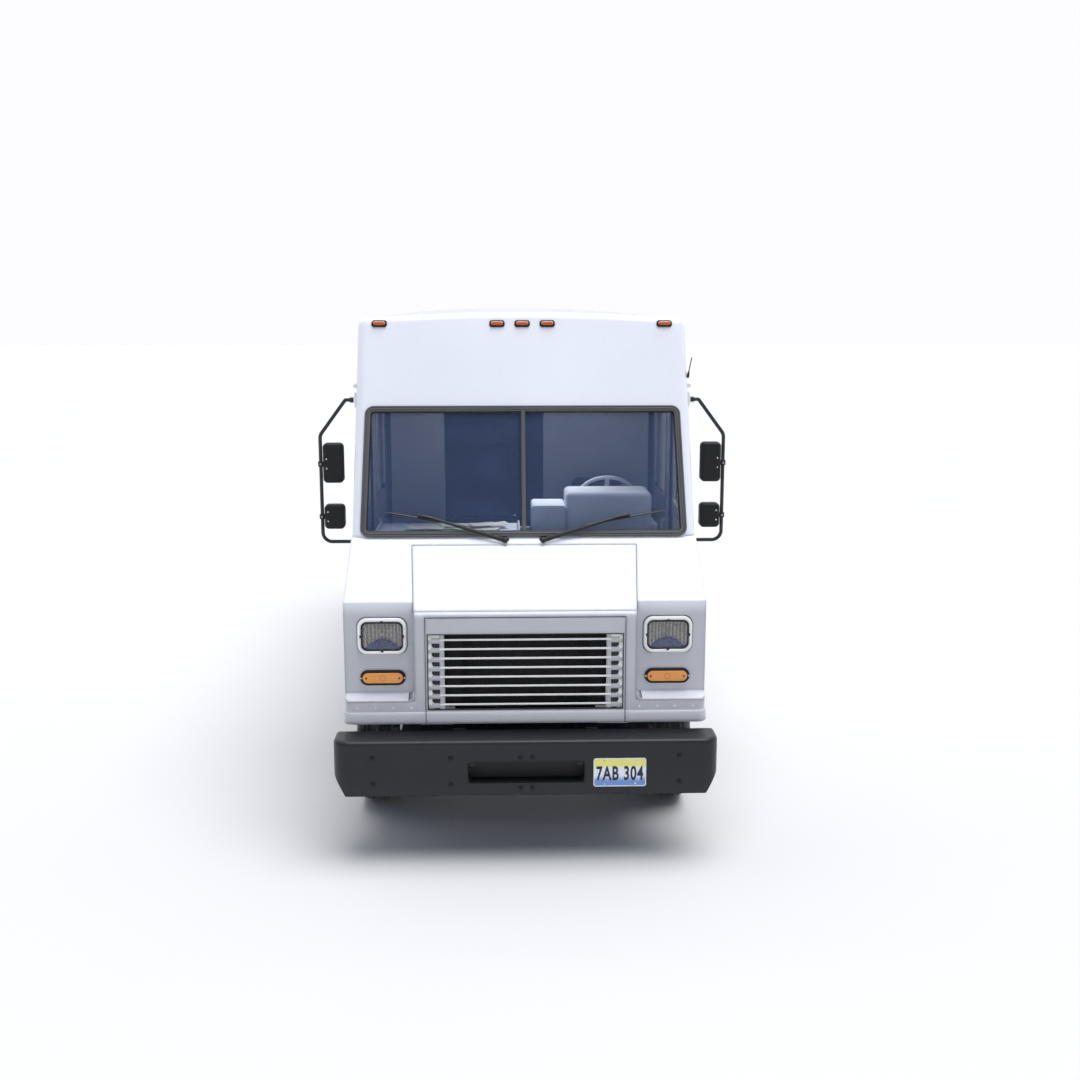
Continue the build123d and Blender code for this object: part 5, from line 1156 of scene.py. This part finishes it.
class STEPVAN_OT_windshield(StepVanOperator):
    """Make the windshield gasket's outer bead and black inner lip"""
    bl_idname = "stepvan.windshield"
    bl_label = "Windshield gasket"

    def make(self, context, van, paint):
        low_v, high_v = ((z - FOLD[2]) / math.cos(RAKE) for z in (1.833, 2.596))
        centre = FOLD + (low_v + high_v) / 2 * UP_GLASS
        half_h = (high_v - low_v) / 2
        half_w = (0.995 + 0.983) / 2

        def gasket_line(inset, count=160):
            flat = outline(half_w - inset, half_h - inset, max(0.056 - inset, 0.01), count)
            flat[:, 0] *= 1 + (-flat[:, 1] / half_h) * 0.0060
            return flat

        w = van.bead
        beads = [bead(gasket_line(0.006), centre, ACROSS, UP_GLASS, OFF_GLASS,
                      np.concatenate([round_profile(w, 0.0045, 9, 0.0112),
                                      [(-w / 2, 0.0100), (w / 2, 0.0100)]])),
                 bead(gasket_line(0.020), centre, ACROSS, UP_GLASS, OFF_GLASS,
                      np.concatenate([round_profile(w * 1.1, 0.0060, 9, 0.0112),
                                      [(-w * 0.55, 0.0100), (w * 0.55, 0.0100)]]))]
        post = 0.0095
        v0, v1 = -half_h + 0.037, half_h - 0.037
        flat = np.array([(-post, 0.0), (-post, 0.011), (-post * 0.6, 0.0145), (post * 0.6, 0.0145),
                         (post, 0.011), (post, 0.0)])
        grid = []
        for v, scale in ((v0, 0.0), (v0, 1.0), (v1, 1.0), (v1, 0.0)):
            mid = flat.mean(0)
            shape = mid + (flat - mid) * scale
            grid.append(centre + shape[:, :1] * ACROSS + v * UP_GLASS + shape[:, 1:] * OFF_GLASS)
        beads.append((np.stack(grid), False, True))
        piece("gasket_beads", beads, "van", FINISH["gasket_rubber"])
        lip = [bead(gasket_line(0.0365), centre, ACROSS, UP_GLASS, OFF_GLASS,
                    [(-0.006, -0.0055), (-0.005, 0.002), (-0.001, 0.0085), (0.003, 0.0110),
                     (0.0045, 0.0118), (0.0045, -0.0055)])]
        piece("gasket_lip", lip, "van", FINISH["lip_rubber"])
        cowl = FOLD - 0.030 * UP_GLASS + 0.0005 * OFF_GLASS
        cover = [(0.0, 0.0), (0.0, 0.030), (0.004, 0.030), (0.010, 0.022), (0.012, 0.0105), (0.012, 0.0)]
        covers = [turned(cover, cowl + side * 0.115 * ACROSS, OFF_GLASS, 28, ACROSS) for side in (-1, 1)]
        piece("wiper_collars", covers, "van", FINISH["lip_rubber"])


class STEPVAN_OT_wipers(StepVanOperator):
    """Make the wiper arms, clips and blades"""
    bl_idname = "stepvan.wipers"
    bl_label = "Wipers"

    def make(self, context, van, paint):
        for name, side in SIDES.items():
            pivot = np.array((side * 0.115, -0.028))
            clip = np.array((side * 0.595, 0.124))
            tips = np.array(((side * 0.332, 0.064), (side * 0.864, 0.162)))
            run = clip - pivot
            run_length = np.linalg.norm(run)
            t = np.linspace(0, 1, 25)
            line = pivot + t[:, None] * run
            rise = 0.030 + 0.003 * np.sin(t * math.pi)
            across = np.array((-run[1], run[0])) / run_length
            width = 0.0150 - 0.0085 * t
            section = np.array([(-1, -0.9), (-0.8, 0.6), (-0.3, 1), (0.3, 1), (0.8, 0.6), (1, -0.9)])
            flat = line[:, None] + across * (width[:, None, None] * section[None, :, :1])
            up = rise[:, None] + 0.004 * section[None, :, 1]
            grid = lifted(flat, FOLD, ACROSS, UP_GLASS, OFF_GLASS, up)
            arm = capped(grid)
            post = FOLD + pivot[0] * ACROSS + pivot[1] * UP_GLASS + 0.032 * OFF_GLASS
            hub = turned([(-0.008, 0.0), (-0.008, 0.017), (0.002, 0.0178), (0.007, 0.015),
                          (0.009, 0.008), (0.0095, 0.0)], post, OFF_GLASS, 28, ACROSS)
            along = (tips[1] - tips[0]) / np.linalg.norm(tips[1] - tips[0])
            turn3 = along[0] * ACROSS + along[1] * UP_GLASS
            cross3 = -along[1] * ACROSS + along[0] * UP_GLASS
            s = np.linspace(0, 1, 41)
            spine = tips[0] + s[:, None] * (tips[1] - tips[0])
            place = FOLD + spine[:, :1] * ACROSS + spine[:, 1:] * UP_GLASS
            taper = np.clip(np.minimum(s, 1 - s) * 14, 0.35, 1.0)
            blade_section = np.array([(-0.0015, -0.0045), (-0.0018, 0.001), (-0.0048, 0.0025),
                                      (-0.0040, 0.0075), (0, 0.0095), (0.0040, 0.0075),
                                      (0.0048, 0.0025), (0.0018, 0.001), (0.0015, -0.0045)])
            level = 0.0048
            grid = (place[:, None] + blade_section[None, :, :1] * taper[:, None, None] * cross3
                    + (level + blade_section[None, :, 1:] * taper[:, None, None]) * OFF_GLASS)
            blade = capped(grid)
            mount = FOLD + clip[0] * ACROSS + clip[1] * UP_GLASS
            yoke = inset_dome(0.052, 0.0085, 0.005, mount + 0.012 * OFF_GLASS, turn3, cross3, OFF_GLASS,
                              [(0.1, 0), (0, 0), (0, 0.010), (0.002, 0.0145), (0.005, 0.016),
                               (0.1, 0.0165)], 32)
            body = f"wiper_{name}"
            piece(f"wiper_assembly_{name}", [arm, hub, blade, yoke], body,
                  FINISH["lever_black"], [body])


class STEPVAN_OT_mirrors(StepVanOperator):
    """Make the mirror glass, housing screws and clamp bolts"""
    bl_idname = "stepvan.mirrors"
    bl_label = "Mirrors"

    def make(self, context, van, paint):
        glass = metal_finish("mirror_silver", (0.80, 0.83, 0.86), 0.06)
        for name, side in SIDES.items():
            for place in ("upper", "lower"):
                node = f"mirror_{place}_{name}"
                low, high = corners(node)
                x_mid = (side * 1.142 + side * 1.272) / 2
                centre = np.array((x_mid, station(MIRROR_STATION + 0.030), (low[2] + high[2]) / 2))
                half_w, half_h = 0.056, (high[2] - low[2]) / 2 - 0.009
                piece(f"{node}_glass",
                      [inset_dome(half_w - 0.001, half_h - 0.001, 0.021, centre, ACROSS, UP, BACK,
                                  [(0.05, -0.001), (0, -0.001), (0, 0.0020), (0.0012, 0.0032),
                                   (0.02, 0.0036), (0.055, 0.0038)], 48)],
                      node, glass)
                clamp_z = 2.221 if place == "upper" else 1.881
                face = station(MIRROR_STATION - 0.0375)
                spots = [(side * 1.247, face, clamp_z + dz) for dz in (-0.026, 0.034)]
                stud_piece(f"{node}_screws", spots, [(0, -1, 0)] * 2, 0.0055, 0.0035, node,
                           FINISH["chrome"], 12)
                bolt = (side * 1.288, station(MIRROR_STATION) - 0.0175, clamp_z)
                stud_piece(f"{node}_clamp_bolt", [bolt], [(0, -1, 0)], 0.0085, 0.0040, node,
                           FINISH["zinc_screw"], 12)


class STEPVAN_OT_tyres(StepVanOperator):
    """Make the tyres with grooves, sipes and a ring on each sidewall"""
    bl_idname = "stepvan.tyres"
    bl_label = "Tyres"

    def make(self, context, van, paint):
        low, high = corners("tyre_front_left")
        width = high[0] - low[0]
        radius = (high[2] - low[2]) / 2
        bead_radius = 0.249

        def tyre(centre, turns=216, across=64):
            """Superellipse section turned round X; grooves and sipes are cut from its radius."""
            phi = np.linspace(0.02, math.pi - 0.02, across)[None, :]
            theta = (np.arange(turns) / turns * 2 * math.pi)[:, None]
            power = 0.48
            x = -width / 2 * np.sign(np.cos(phi)) * np.abs(np.cos(phi)) ** power * 0.999
            share = np.sin(phi) ** power
            r = bead_radius + (radius - bead_radius) * share
            flat = np.clip((share - 0.90) / 0.08, 0, 1)
            groove = np.zeros_like(x)
            for line in (-0.052, -0.0175, 0.0175, 0.052):
                groove = np.maximum(groove, np.clip(1.6 - np.abs(x - line) / 0.0038, 0, 1))
            slant = theta * 54 + x * 90
            sipe = np.clip((np.cos(slant) - 0.80) * 6, 0, 1) * (np.abs(x) > 0.056)
            cut = np.maximum(groove + 0 * theta, sipe)
            r = r - van.tread * cut * flat
            grid = np.stack([centre[0] + x + 0 * theta, centre[1] + r * np.sin(theta),
                             centre[2] + r * np.cos(theta)], -1)
            side_ring = np.abs(share - 0.55) < 0.05
            grid[..., 0] -= np.sign(x) * side_ring * 0.0015
            return grid, True, True

        for name in SIDES:
            for node, body, twin in ((f"tyre_front_{name}", f"wheel_front_{name}", False),
                                     (f"tyres_rear_{name}", f"wheels_rear_{name}", True)):
                low, high = corners(node)
                mid = (low + high) / 2
                middles = (low[0] + width / 2, high[0] - width / 2) if twin else (mid[0],)
                piece(f"{node}_tread", [tyre((x, mid[1], mid[2])) for x in middles], body,
                      FINISH["tyre_rubber"], [node], crease=35)


class STEPVAN_OT_bodywork(StepVanOperator):
    """Make the rivets, lapped seams, arch lips, handles, seals, fuel cap and mud flaps"""
    bl_idname = "stepvan.bodywork"
    bl_label = "Bodywork"

    def make(self, context, van, paint):
        arch_y = (corners("tyres_rear_left")[0][1] + corners("tyres_rear_left")[1][1]) / 2
        arch_z = corners("tyres_rear_left")[1][2] / 2
        wall_front = station(2.330)
        seams = np.linspace(wall_front + 0.62, BOX_REAR - 0.62, 6)
        pitch = van.rivet_pitch
        arch_reach = 0.53
        places, normals, strips = [], [], []
        z = np.arange(0.68, 3.02, pitch)
        edges = [wall_front + 0.022, BOX_REAR - 0.022]
        for y in [*(s + d for s in seams for d in (-0.016, 0.016)), *edges]:
            clear = (np.hypot(y - arch_y, z - arch_z) > arch_reach) & (np.abs(z - 2.714) > 0.02)
            clear &= ~((z > 1.165) & (z < 1.375))
            for side in (-1, 1):
                n = int(clear.sum())
                places.append(np.stack([np.full(n, side * (WALL_X + 0.0012)), np.full(n, y), z[clear]], -1))
                normals.append(np.tile((side, 0.0, 0.0), (n, 1)))
        y = np.arange(wall_front + 0.09, BOX_REAR - 0.06, pitch)
        for level in (0.96, 2.90):
            for side in (-1, 1):
                clear = np.hypot(y - arch_y, level - arch_z) > arch_reach
                n = int(clear.sum())
                places.append(np.stack([np.full(n, side * WALL_X), y[clear], np.full(n, level)], -1))
                normals.append(np.tile((side, 0.0, 0.0), (n, 1)))
        for level in (1.202, 1.342):
            for side in (-1, 1):
                sparse = y[::3]
                n, rail_x = len(sparse), side * (WALL_X + 0.012)
                places.append(np.stack([np.full(n, rail_x), sparse, np.full(n, level)], -1))
                normals.append(np.tile((side, 0.0, 0.0), (n, 1)))
        x = np.arange(-0.90, 0.91, pitch)
        x = x[np.abs(x) > 0.30]
        crown = 3.132 + 0.040 * (1 - (x / 1.047) ** 2)
        for along in [station(1.60), *np.linspace(station(2.30), BOX_REAR - 0.05, 8)]:
            places.append(np.stack([x, np.full(len(x), along), crown], -1))
            normals.append(np.stack([0.08 * x / 1.096, 0 * x, np.ones(len(x))], -1))
        stud_piece("body_rivets", np.concatenate(places), np.concatenate(normals), van.rivet, 0.0022, "van",
                   FINISH["white_sheet"], 6)
        for y in seams:
            for side in (-1, 1):
                foot = 0.60
                if abs(y - arch_y) <= arch_reach:
                    foot = arch_z + math.sqrt(max(0.52 ** 2 - (y - arch_y) ** 2, 0.09))
                for z0, z1 in ((foot, 1.178), (1.366, 2.702), (2.726, 3.05)):
                    if z1 > z0 + 0.02:
                        strips.append(bar((side * (WALL_X - 0.002), y - 0.026, z0),
                                          (side * (WALL_X + 0.0014), y + 0.026, z1)))
        piece("body_seams", strips, "van", FINISH["white_sheet"])
        rubber = []
        for side in (-1, 1):
            for centre_y, x, foot in ((arch_y, WALL_X, 0.602), (station(1.100), NOSE_HIGH[0], 0.795)):
                r = 0.487
                low_angle = math.asin((foot - arch_z) / r)
                angle = np.linspace(low_angle, math.pi - low_angle, 49)
                path = np.stack([np.full(49, side * (x + 0.001)), centre_y + r * np.cos(angle),
                                 arch_z + r * np.sin(angle)], -1)
                rubber.append(tube(path, 0.0075, 10))
        piece("arch_lips", rubber, "van", FINISH["lip_rubber"])
        for name, side in SIDES.items():
            out = side * ACROSS
            face_x = side * (0.998 + 0.014)
            centre = np.array((face_x, station(1.680), 1.60))
            piece(f"cab_door_handle_{name}",
                  [inset_dome(0.045, 0.065, 0.016, centre, BACK, UP, out,
                              [(0.1, -0.001), (0, -0.001), (0.0, 0.003), (0.003, 0.0055), (0.014, 0.0055),
                               (0.017, 0.002), (0.1, 0.0015)], 40)],
                  f"cab_door_{name}", FINISH["alu_trim"])
            gasket_flat = outline(0.306, 0.326, 0.046, 96)
            centre = np.array((face_x, station(1.950), 2.230))
            piece(f"cab_door_seal_{name}",
                  [bead(gasket_flat, centre, BACK, UP, out, seal_profile(0.0045))],
                  f"cab_door_{name}", FINISH["lip_rubber"])
            rear = np.array((side * 0.480, station(6.800) + 0.033, 2.300))
            piece(f"rear_door_seal_{name}",
                  [bead(outline(0.236, 0.216, 0.046, 96), rear, ACROSS, UP, BACK, seal_profile(0.0045))],
                  f"rear_door_{name}", FINISH["lip_rubber"])
            centre = np.array((side * WALL_X, station(1.365), 2.230))
            piece(f"quarter_seal_{name}",
                  [bead(outline(0.141, 0.326, 0.046, 96), centre, BACK, UP, out, seal_profile(0.005))],
                  "van", FINISH["lip_rubber"])
        seals = [bar((-0.95, BOX_REAR + 0.001, 0.914), (0.95, BOX_REAR + 0.026, 0.934))]
        for side in (-1, 1):
            seals.append(bar((side * 1.004, station(1.550), 0.93), (side * 1.031, station(1.566), 2.694)))
        piece("door_seals", seals, "van", FINISH["lip_rubber"])
        cover = bar((-0.016, BOX_REAR + 0.0335, 0.945), (0.016, BOX_REAR + 0.0385, 2.98))
        piece("rear_door_cover_strip", [cover], "rear_door_left", FINISH["alu_trim"])
        cap_centre = np.array((WALL_X, station(2.760), 0.80))
        cap = [(-0.002, 0.0), (-0.002, 0.062), (0.004, 0.062), (0.006, 0.056), (0.006, 0.047),
               (0.022, 0.045), (0.027, 0.040), (0.0275, 0.0)]
        piece("fuel_cap", [turned(cap, cap_centre, ACROSS, 48)],
              "van", FINISH["black_trim"])
        flaps = []
        for side in (-1, 1):
            x0, x1 = side * 0.585, side * 1.02
            t = np.linspace(0, 1, 15)[:, None]
            s = np.linspace(0, 1, 15)[None, :]
            z = 0.885 - t * 0.66 + 0 * s
            y = station(5.560) + 0.030 * t ** 2 + 0.004 * np.sin(s * math.pi * 3) * t
            flaps.append((np.stack([x0 + (x1 - x0) * s + 0 * t, y, z], -1), False, False))
        thickened(piece("mud_flaps", flaps, "van", FINISH["tyre_rubber"]), 0.008)


class STEPVAN_OT_cab(StepVanOperator):
    """Make the letters on the tray and the gauges"""
    bl_idname = "stepvan.cab"
    bl_label = "Cab details"

    def make(self, context, van, paint):
        tray_z = 1.824
        sheets = []
        stack = ((-0.43, 0.905, 0.16, 0.075, 8), (-0.30, 0.93, 0.15, 0.07, -12),
                 (-0.52, 0.96, 0.13, 0.08, 20), (-0.36, 1.00, 0.17, 0.07, 4),
                 (-0.62, 0.90, 0.12, 0.06, -6), (-0.22, 0.985, 0.12, 0.06, 15))
        for k, (x, s, half_x, half_y, turn) in enumerate(stack):
            a, b = np.meshgrid(np.linspace(-1, 1, 17), np.linspace(-1, 1, 9), indexing="ij")
            c, d = math.cos(math.radians(turn)), math.sin(math.radians(turn))
            px = x + a * half_x * c - b * half_y * d
            py = station(s) + a * half_x * d + b * half_y * c
            pz = tray_z + 0.003 + 0.004 * k + 0.006 * (a * a) * (k % 2) + 0.003 * np.sin(a * 2.1 + k) ** 2
            sheets.append((np.stack([px, py, pz], -1), False, False))
        thickened(piece("letters", sheets, "van", FINISH["paper"]), 0.0016)
        face = station(1.175)
        gauges, dials = [], []
        for x, r in ((0.40, 0.052), (0.555, 0.060), (0.71, 0.052), (0.20, 0.030), (0.12, 0.030)):
            z = 1.90 if x > 0.25 else 1.88
            centre = np.array((x, face, z))
            gauges.append(turned([(-0.002, r + 0.004), (0.006, r + 0.006), (0.010, r + 0.002),
                                  (0.008, r - 0.003), (0.001, r - 0.004), (-0.002, r)],
                                 centre, BACK, 40))
            dials.append(turned([(0.0, 0.0), (0.0012, 0.0), (0.0012, r - 0.003), (0.0, r - 0.003)],
                                centre, BACK, 40))
        piece("gauge_rings", gauges, "van", FINISH["lip_rubber"])
        piece("gauge_dials", dials, "van", FINISH["plate_white"])


class STEPVAN_OT_seat(StepVanOperator):
    """Make the padded seat cushion and back"""
    bl_idname = "stepvan.seat"
    bl_label = "Driver's seat"

    def make(self, context, van, paint):
        back_low, back_high = corners("seat_back")
        x_mid = (back_low[0] + back_high[0]) / 2
        cushion = self.pad("seat_cushion_pad", np.array((x_mid, station(1.925), 1.293)),
                           np.array((0.196, 0.208, 0.036)), "seat", 2)
        rest = self.pad("seat_back_pad", np.array((x_mid, station(2.205), 1.690)),
                        np.array((0.190, 0.024, 0.300)), "seat_back", 1)
        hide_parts("seat_cushion")
        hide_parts("seat_back")
        pan = [bar((x_mid - 0.210, station(1.712), 1.219), (x_mid + 0.210, station(2.150), 1.242))]
        for x in (-0.160, 0.140):
            pan.append(bar((x_mid + x, station(1.742), 1.2005), (x_mid + x + 0.020, station(2.138), 1.219)))
        for x in (-0.228, 0.216):
            pan.append(bar((x_mid + x, station(2.082), 1.219), (x_mid + x + 0.012, station(2.222), 1.289)))
        pin = np.array((x_mid, station(2.205), 1.270))
        pan.append(turned([(-0.228, 0), (-0.228, 0.008), (0.228, 0.008), (0.228, 0)], pin, ACROSS, 20))
        piece("seat_pan", pan, "seat", FINISH["lever_black"])
        stays = [bar((x_mid + x, station(2.198), 1.270), (x_mid + x + 0.030, station(2.212), 1.420))
                 for x in (-0.180, 0.150)]
        piece("seat_stays", stays, "seat_back", FINISH["lever_black"])

    def pad(self, name, centre, half, body, thin):
        """Superellipsoid pad with sewn channels, puffed by a short cloth simulation."""
        u = np.linspace(-math.pi / 2, math.pi / 2, 61)[:, None]
        v = (np.arange(120) / 120 * 2 * math.pi)[None, :]

        def soft(value, power):
            return np.sign(value) * np.abs(value) ** power

        a = soft(np.cos(u), 0.35) * soft(np.cos(v), 0.22)
        b = soft(np.cos(u), 0.35) * soft(np.sin(v), 0.22)
        c = soft(np.sin(u), 0.55) + 0 * v
        order = [0, 1, 2]
        order.remove(thin)
        grid = np.empty(a.shape + (3,))
        grid[..., order[0]] = centre[order[0]] + half[order[0]] * a
        grid[..., order[1]] = centre[order[1]] + half[order[1]] * b
        grid[..., thin] = centre[thin] + half[thin] * c
        obj = piece(name, [(grid, False, True)], body, FINISH["seat_vinyl"], weld=1e-4)
        obj.parent = None
        self.puff(obj)
        co = points_of(obj.data)
        run = co[:, order[1]] - centre[order[1]]
        limit = half[order[1]] * 0.82
        wave = np.abs(np.sin(run / half[order[1]] * math.pi * 2.0))
        groove = 0.0065 * np.exp(-(wave / 0.22) ** 2) * (np.abs(run) < limit)
        face = (co[:, thin] - centre[thin]) / half[thin]
        co[:, thin] -= np.sign(face) * groove * np.clip(np.abs(face) * 1.6 - 0.5, 0, 1)
        move_points(obj.data, co)
        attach(obj, body)
        return obj

    def puff(self, obj):
        """Remesh, inflate under pressure with no gravity, and limit how far a point moves."""
        remesh = obj.modifiers.new("even", "REMESH")
        remesh.mode, remesh.voxel_size = "VOXEL", 0.006
        self.apply(obj)
        start = points_of(obj.data)
        cloth = obj.modifiers.new("puff", "CLOTH")
        cloth.settings.use_pressure = True
        cloth.settings.uniform_pressure_force = 4.0
        cloth.settings.effector_weights.gravity = 0
        cloth.settings.quality = 4
        for step in range(1, 16):
            bpy.context.scene.frame_set(step)
        self.apply(obj)
        bpy.context.scene.frame_set(1)
        shift = points_of(obj.data) - start
        far = np.linalg.norm(shift, axis=1, keepdims=True)
        most = 0.012
        move_points(obj.data, start + shift * np.minimum(1.0, most / np.maximum(far, 1e-9)))
        shade_smooth(obj.data)

    def apply(self, obj):
        """Makes the modified shape the mesh, and drops the modifiers."""
        graph = bpy.context.evaluated_depsgraph_get()
        mesh = bpy.data.meshes.new_from_object(obj.evaluated_get(graph))
        obj.modifiers.clear()
        obj.data = mesh


class STEPVAN_OT_stage(StepVanOperator):
    """Make the floor, the soft lights and the camera"""
    bl_idname = "stepvan.stage"
    bl_label = "Stage"

    def make(self, context, van, paint):
        stage = context.scene.van_stage
        world = bpy.data.worlds.new("studio")
        world.use_nodes = True
        tree = world.node_tree
        around = Signal(tree, add_node(tree, "ShaderNodeTexCoord").outputs["Generated"])
        split = add_node(tree, "ShaderNodeSeparateXYZ", {}, {0: around})
        behind, above = ((1, -0.25, 0.35), (2, 0.30, 0.10))
        shares = []
        for axis, low, high in (behind, above):
            fade = add_node(tree, "ShaderNodeMapRange", {"interpolation_type": "SMOOTHSTEP"},
                            {0: Signal(tree, split.outputs[axis]), 1: low, 2: high})
            shares.append(Signal(tree, fade.outputs[0]))
        blend = add_node(tree, "ShaderNodeMix", {"data_type": "RGBA"},
                         {0: shares[0].larger(shares[1]), 6: (0.12, 0.165, 0.27, 1),
                          7: (0.98, 0.98, 1.0, 1)})
        tree.links.new(blend.outputs[2], tree.nodes["Background"].inputs[0])
        context.scene.world = world
        context.scene.view_settings.view_transform = "Standard"
        mesh = bpy.data.meshes.new("studio_floor")
        reach = 90.0
        rim = [(-reach, -reach, 0), (reach, -reach, 0), (reach, reach, 0), (-reach, reach, 0)]
        mesh.from_pydata(rim, [], [(0, 1, 2, 3)])
        mesh.materials.append(floor_finish(paint.floor))
        ground = bpy.data.objects.new("studio_floor", mesh)
        context.scene.collection.objects.link(ground)
        key = bpy.data.lights.new("key", "SUN")
        key.energy, key.angle = stage.key, math.radians(50)
        self.lamp(key, (1.6, -0.9, 10.0), (0.0, 0.0, 0.0))
        dome_light = bpy.data.lights.new("cab_light", "AREA")
        dome_light.shape, dome_light.size, dome_light.energy = "DISK", 0.24, stage.cab
        dome_light.spread = math.radians(95)
        lamp = self.lamp(dome_light, (0.15, station(1.46), 2.80), (0.2, station(1.06), 1.9))
        lamp.visible_camera = lamp.visible_glossy = False
        view = bpy.data.cameras.new("camera")
        view.sensor_width, view.lens, view.clip_end = 36.0, stage.lens, 400.0
        camera = bpy.data.objects.new("camera", view)
        camera.location = (stage.aside, BUMPER_FACE - stage.distance, stage.height)
        camera.rotation_euler = (math.pi / 2 - stage.pitch, 0.0, -stage.yaw)
        context.scene.collection.objects.link(camera)
        context.scene.camera = camera

    def lamp(self, light, place, target):
        """A lamp at a place, aimed at a target."""
        obj = bpy.data.objects.new(light.name, light)
        obj.location = place
        obj.rotation_euler = (Vector(target) - obj.location).to_track_quat("-Z", "Y").to_euler()
        bpy.context.scene.collection.objects.link(obj)
        return obj


OPERATORS = (STEPVAN_OT_finishes, STEPVAN_OT_grille, STEPVAN_OT_nose_trim, STEPVAN_OT_bumper_slot,
             STEPVAN_OT_headlamps, STEPVAN_OT_signals, STEPVAN_OT_plate, STEPVAN_OT_windshield,
             STEPVAN_OT_wipers, STEPVAN_OT_mirrors, STEPVAN_OT_tyres, STEPVAN_OT_bodywork,
             STEPVAN_OT_cab, STEPVAN_OT_seat, STEPVAN_OT_stage)


class STEPVAN_PT_panel(bpy.types.Panel):
    """Lists the van's operators, sizes and colours."""
    bl_label = "Step van"
    bl_idname = "STEPVAN_PT_panel"
    bl_space_type = "VIEW_3D"
    bl_region_type = "UI"
    bl_category = "Step van"

    def draw(self, context):
        column = self.layout.column()
        for operator in OPERATORS:
            column.operator(operator.bl_idname)
        for group in (context.scene.van_sizes, context.scene.van_colours, context.scene.van_stage):
            for name in group.__annotations__:
                column.prop(group, name)


CLASSES = (VanColours, VanSizes, VanStage, *OPERATORS, STEPVAN_PT_panel)


def register():
    for cls in CLASSES:
        bpy.utils.register_class(cls)
    bpy.types.Scene.van_colours = bpy.props.PointerProperty(type=VanColours)
    bpy.types.Scene.van_sizes = bpy.props.PointerProperty(type=VanSizes)
    bpy.types.Scene.van_stage = bpy.props.PointerProperty(type=VanStage)


def unregister():
    for name in ("van_colours", "van_sizes", "van_stage"):
        delattr(bpy.types.Scene, name)
    for cls in reversed(CLASSES):
        bpy.utils.unregister_class(cls)


def main():
    """Registers the add-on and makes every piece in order."""
    register()
    for operator in OPERATORS:
        group, name = operator.bl_idname.split(".")
        getattr(getattr(bpy.ops, group), name)()


if __name__ == "__main__":
    main()
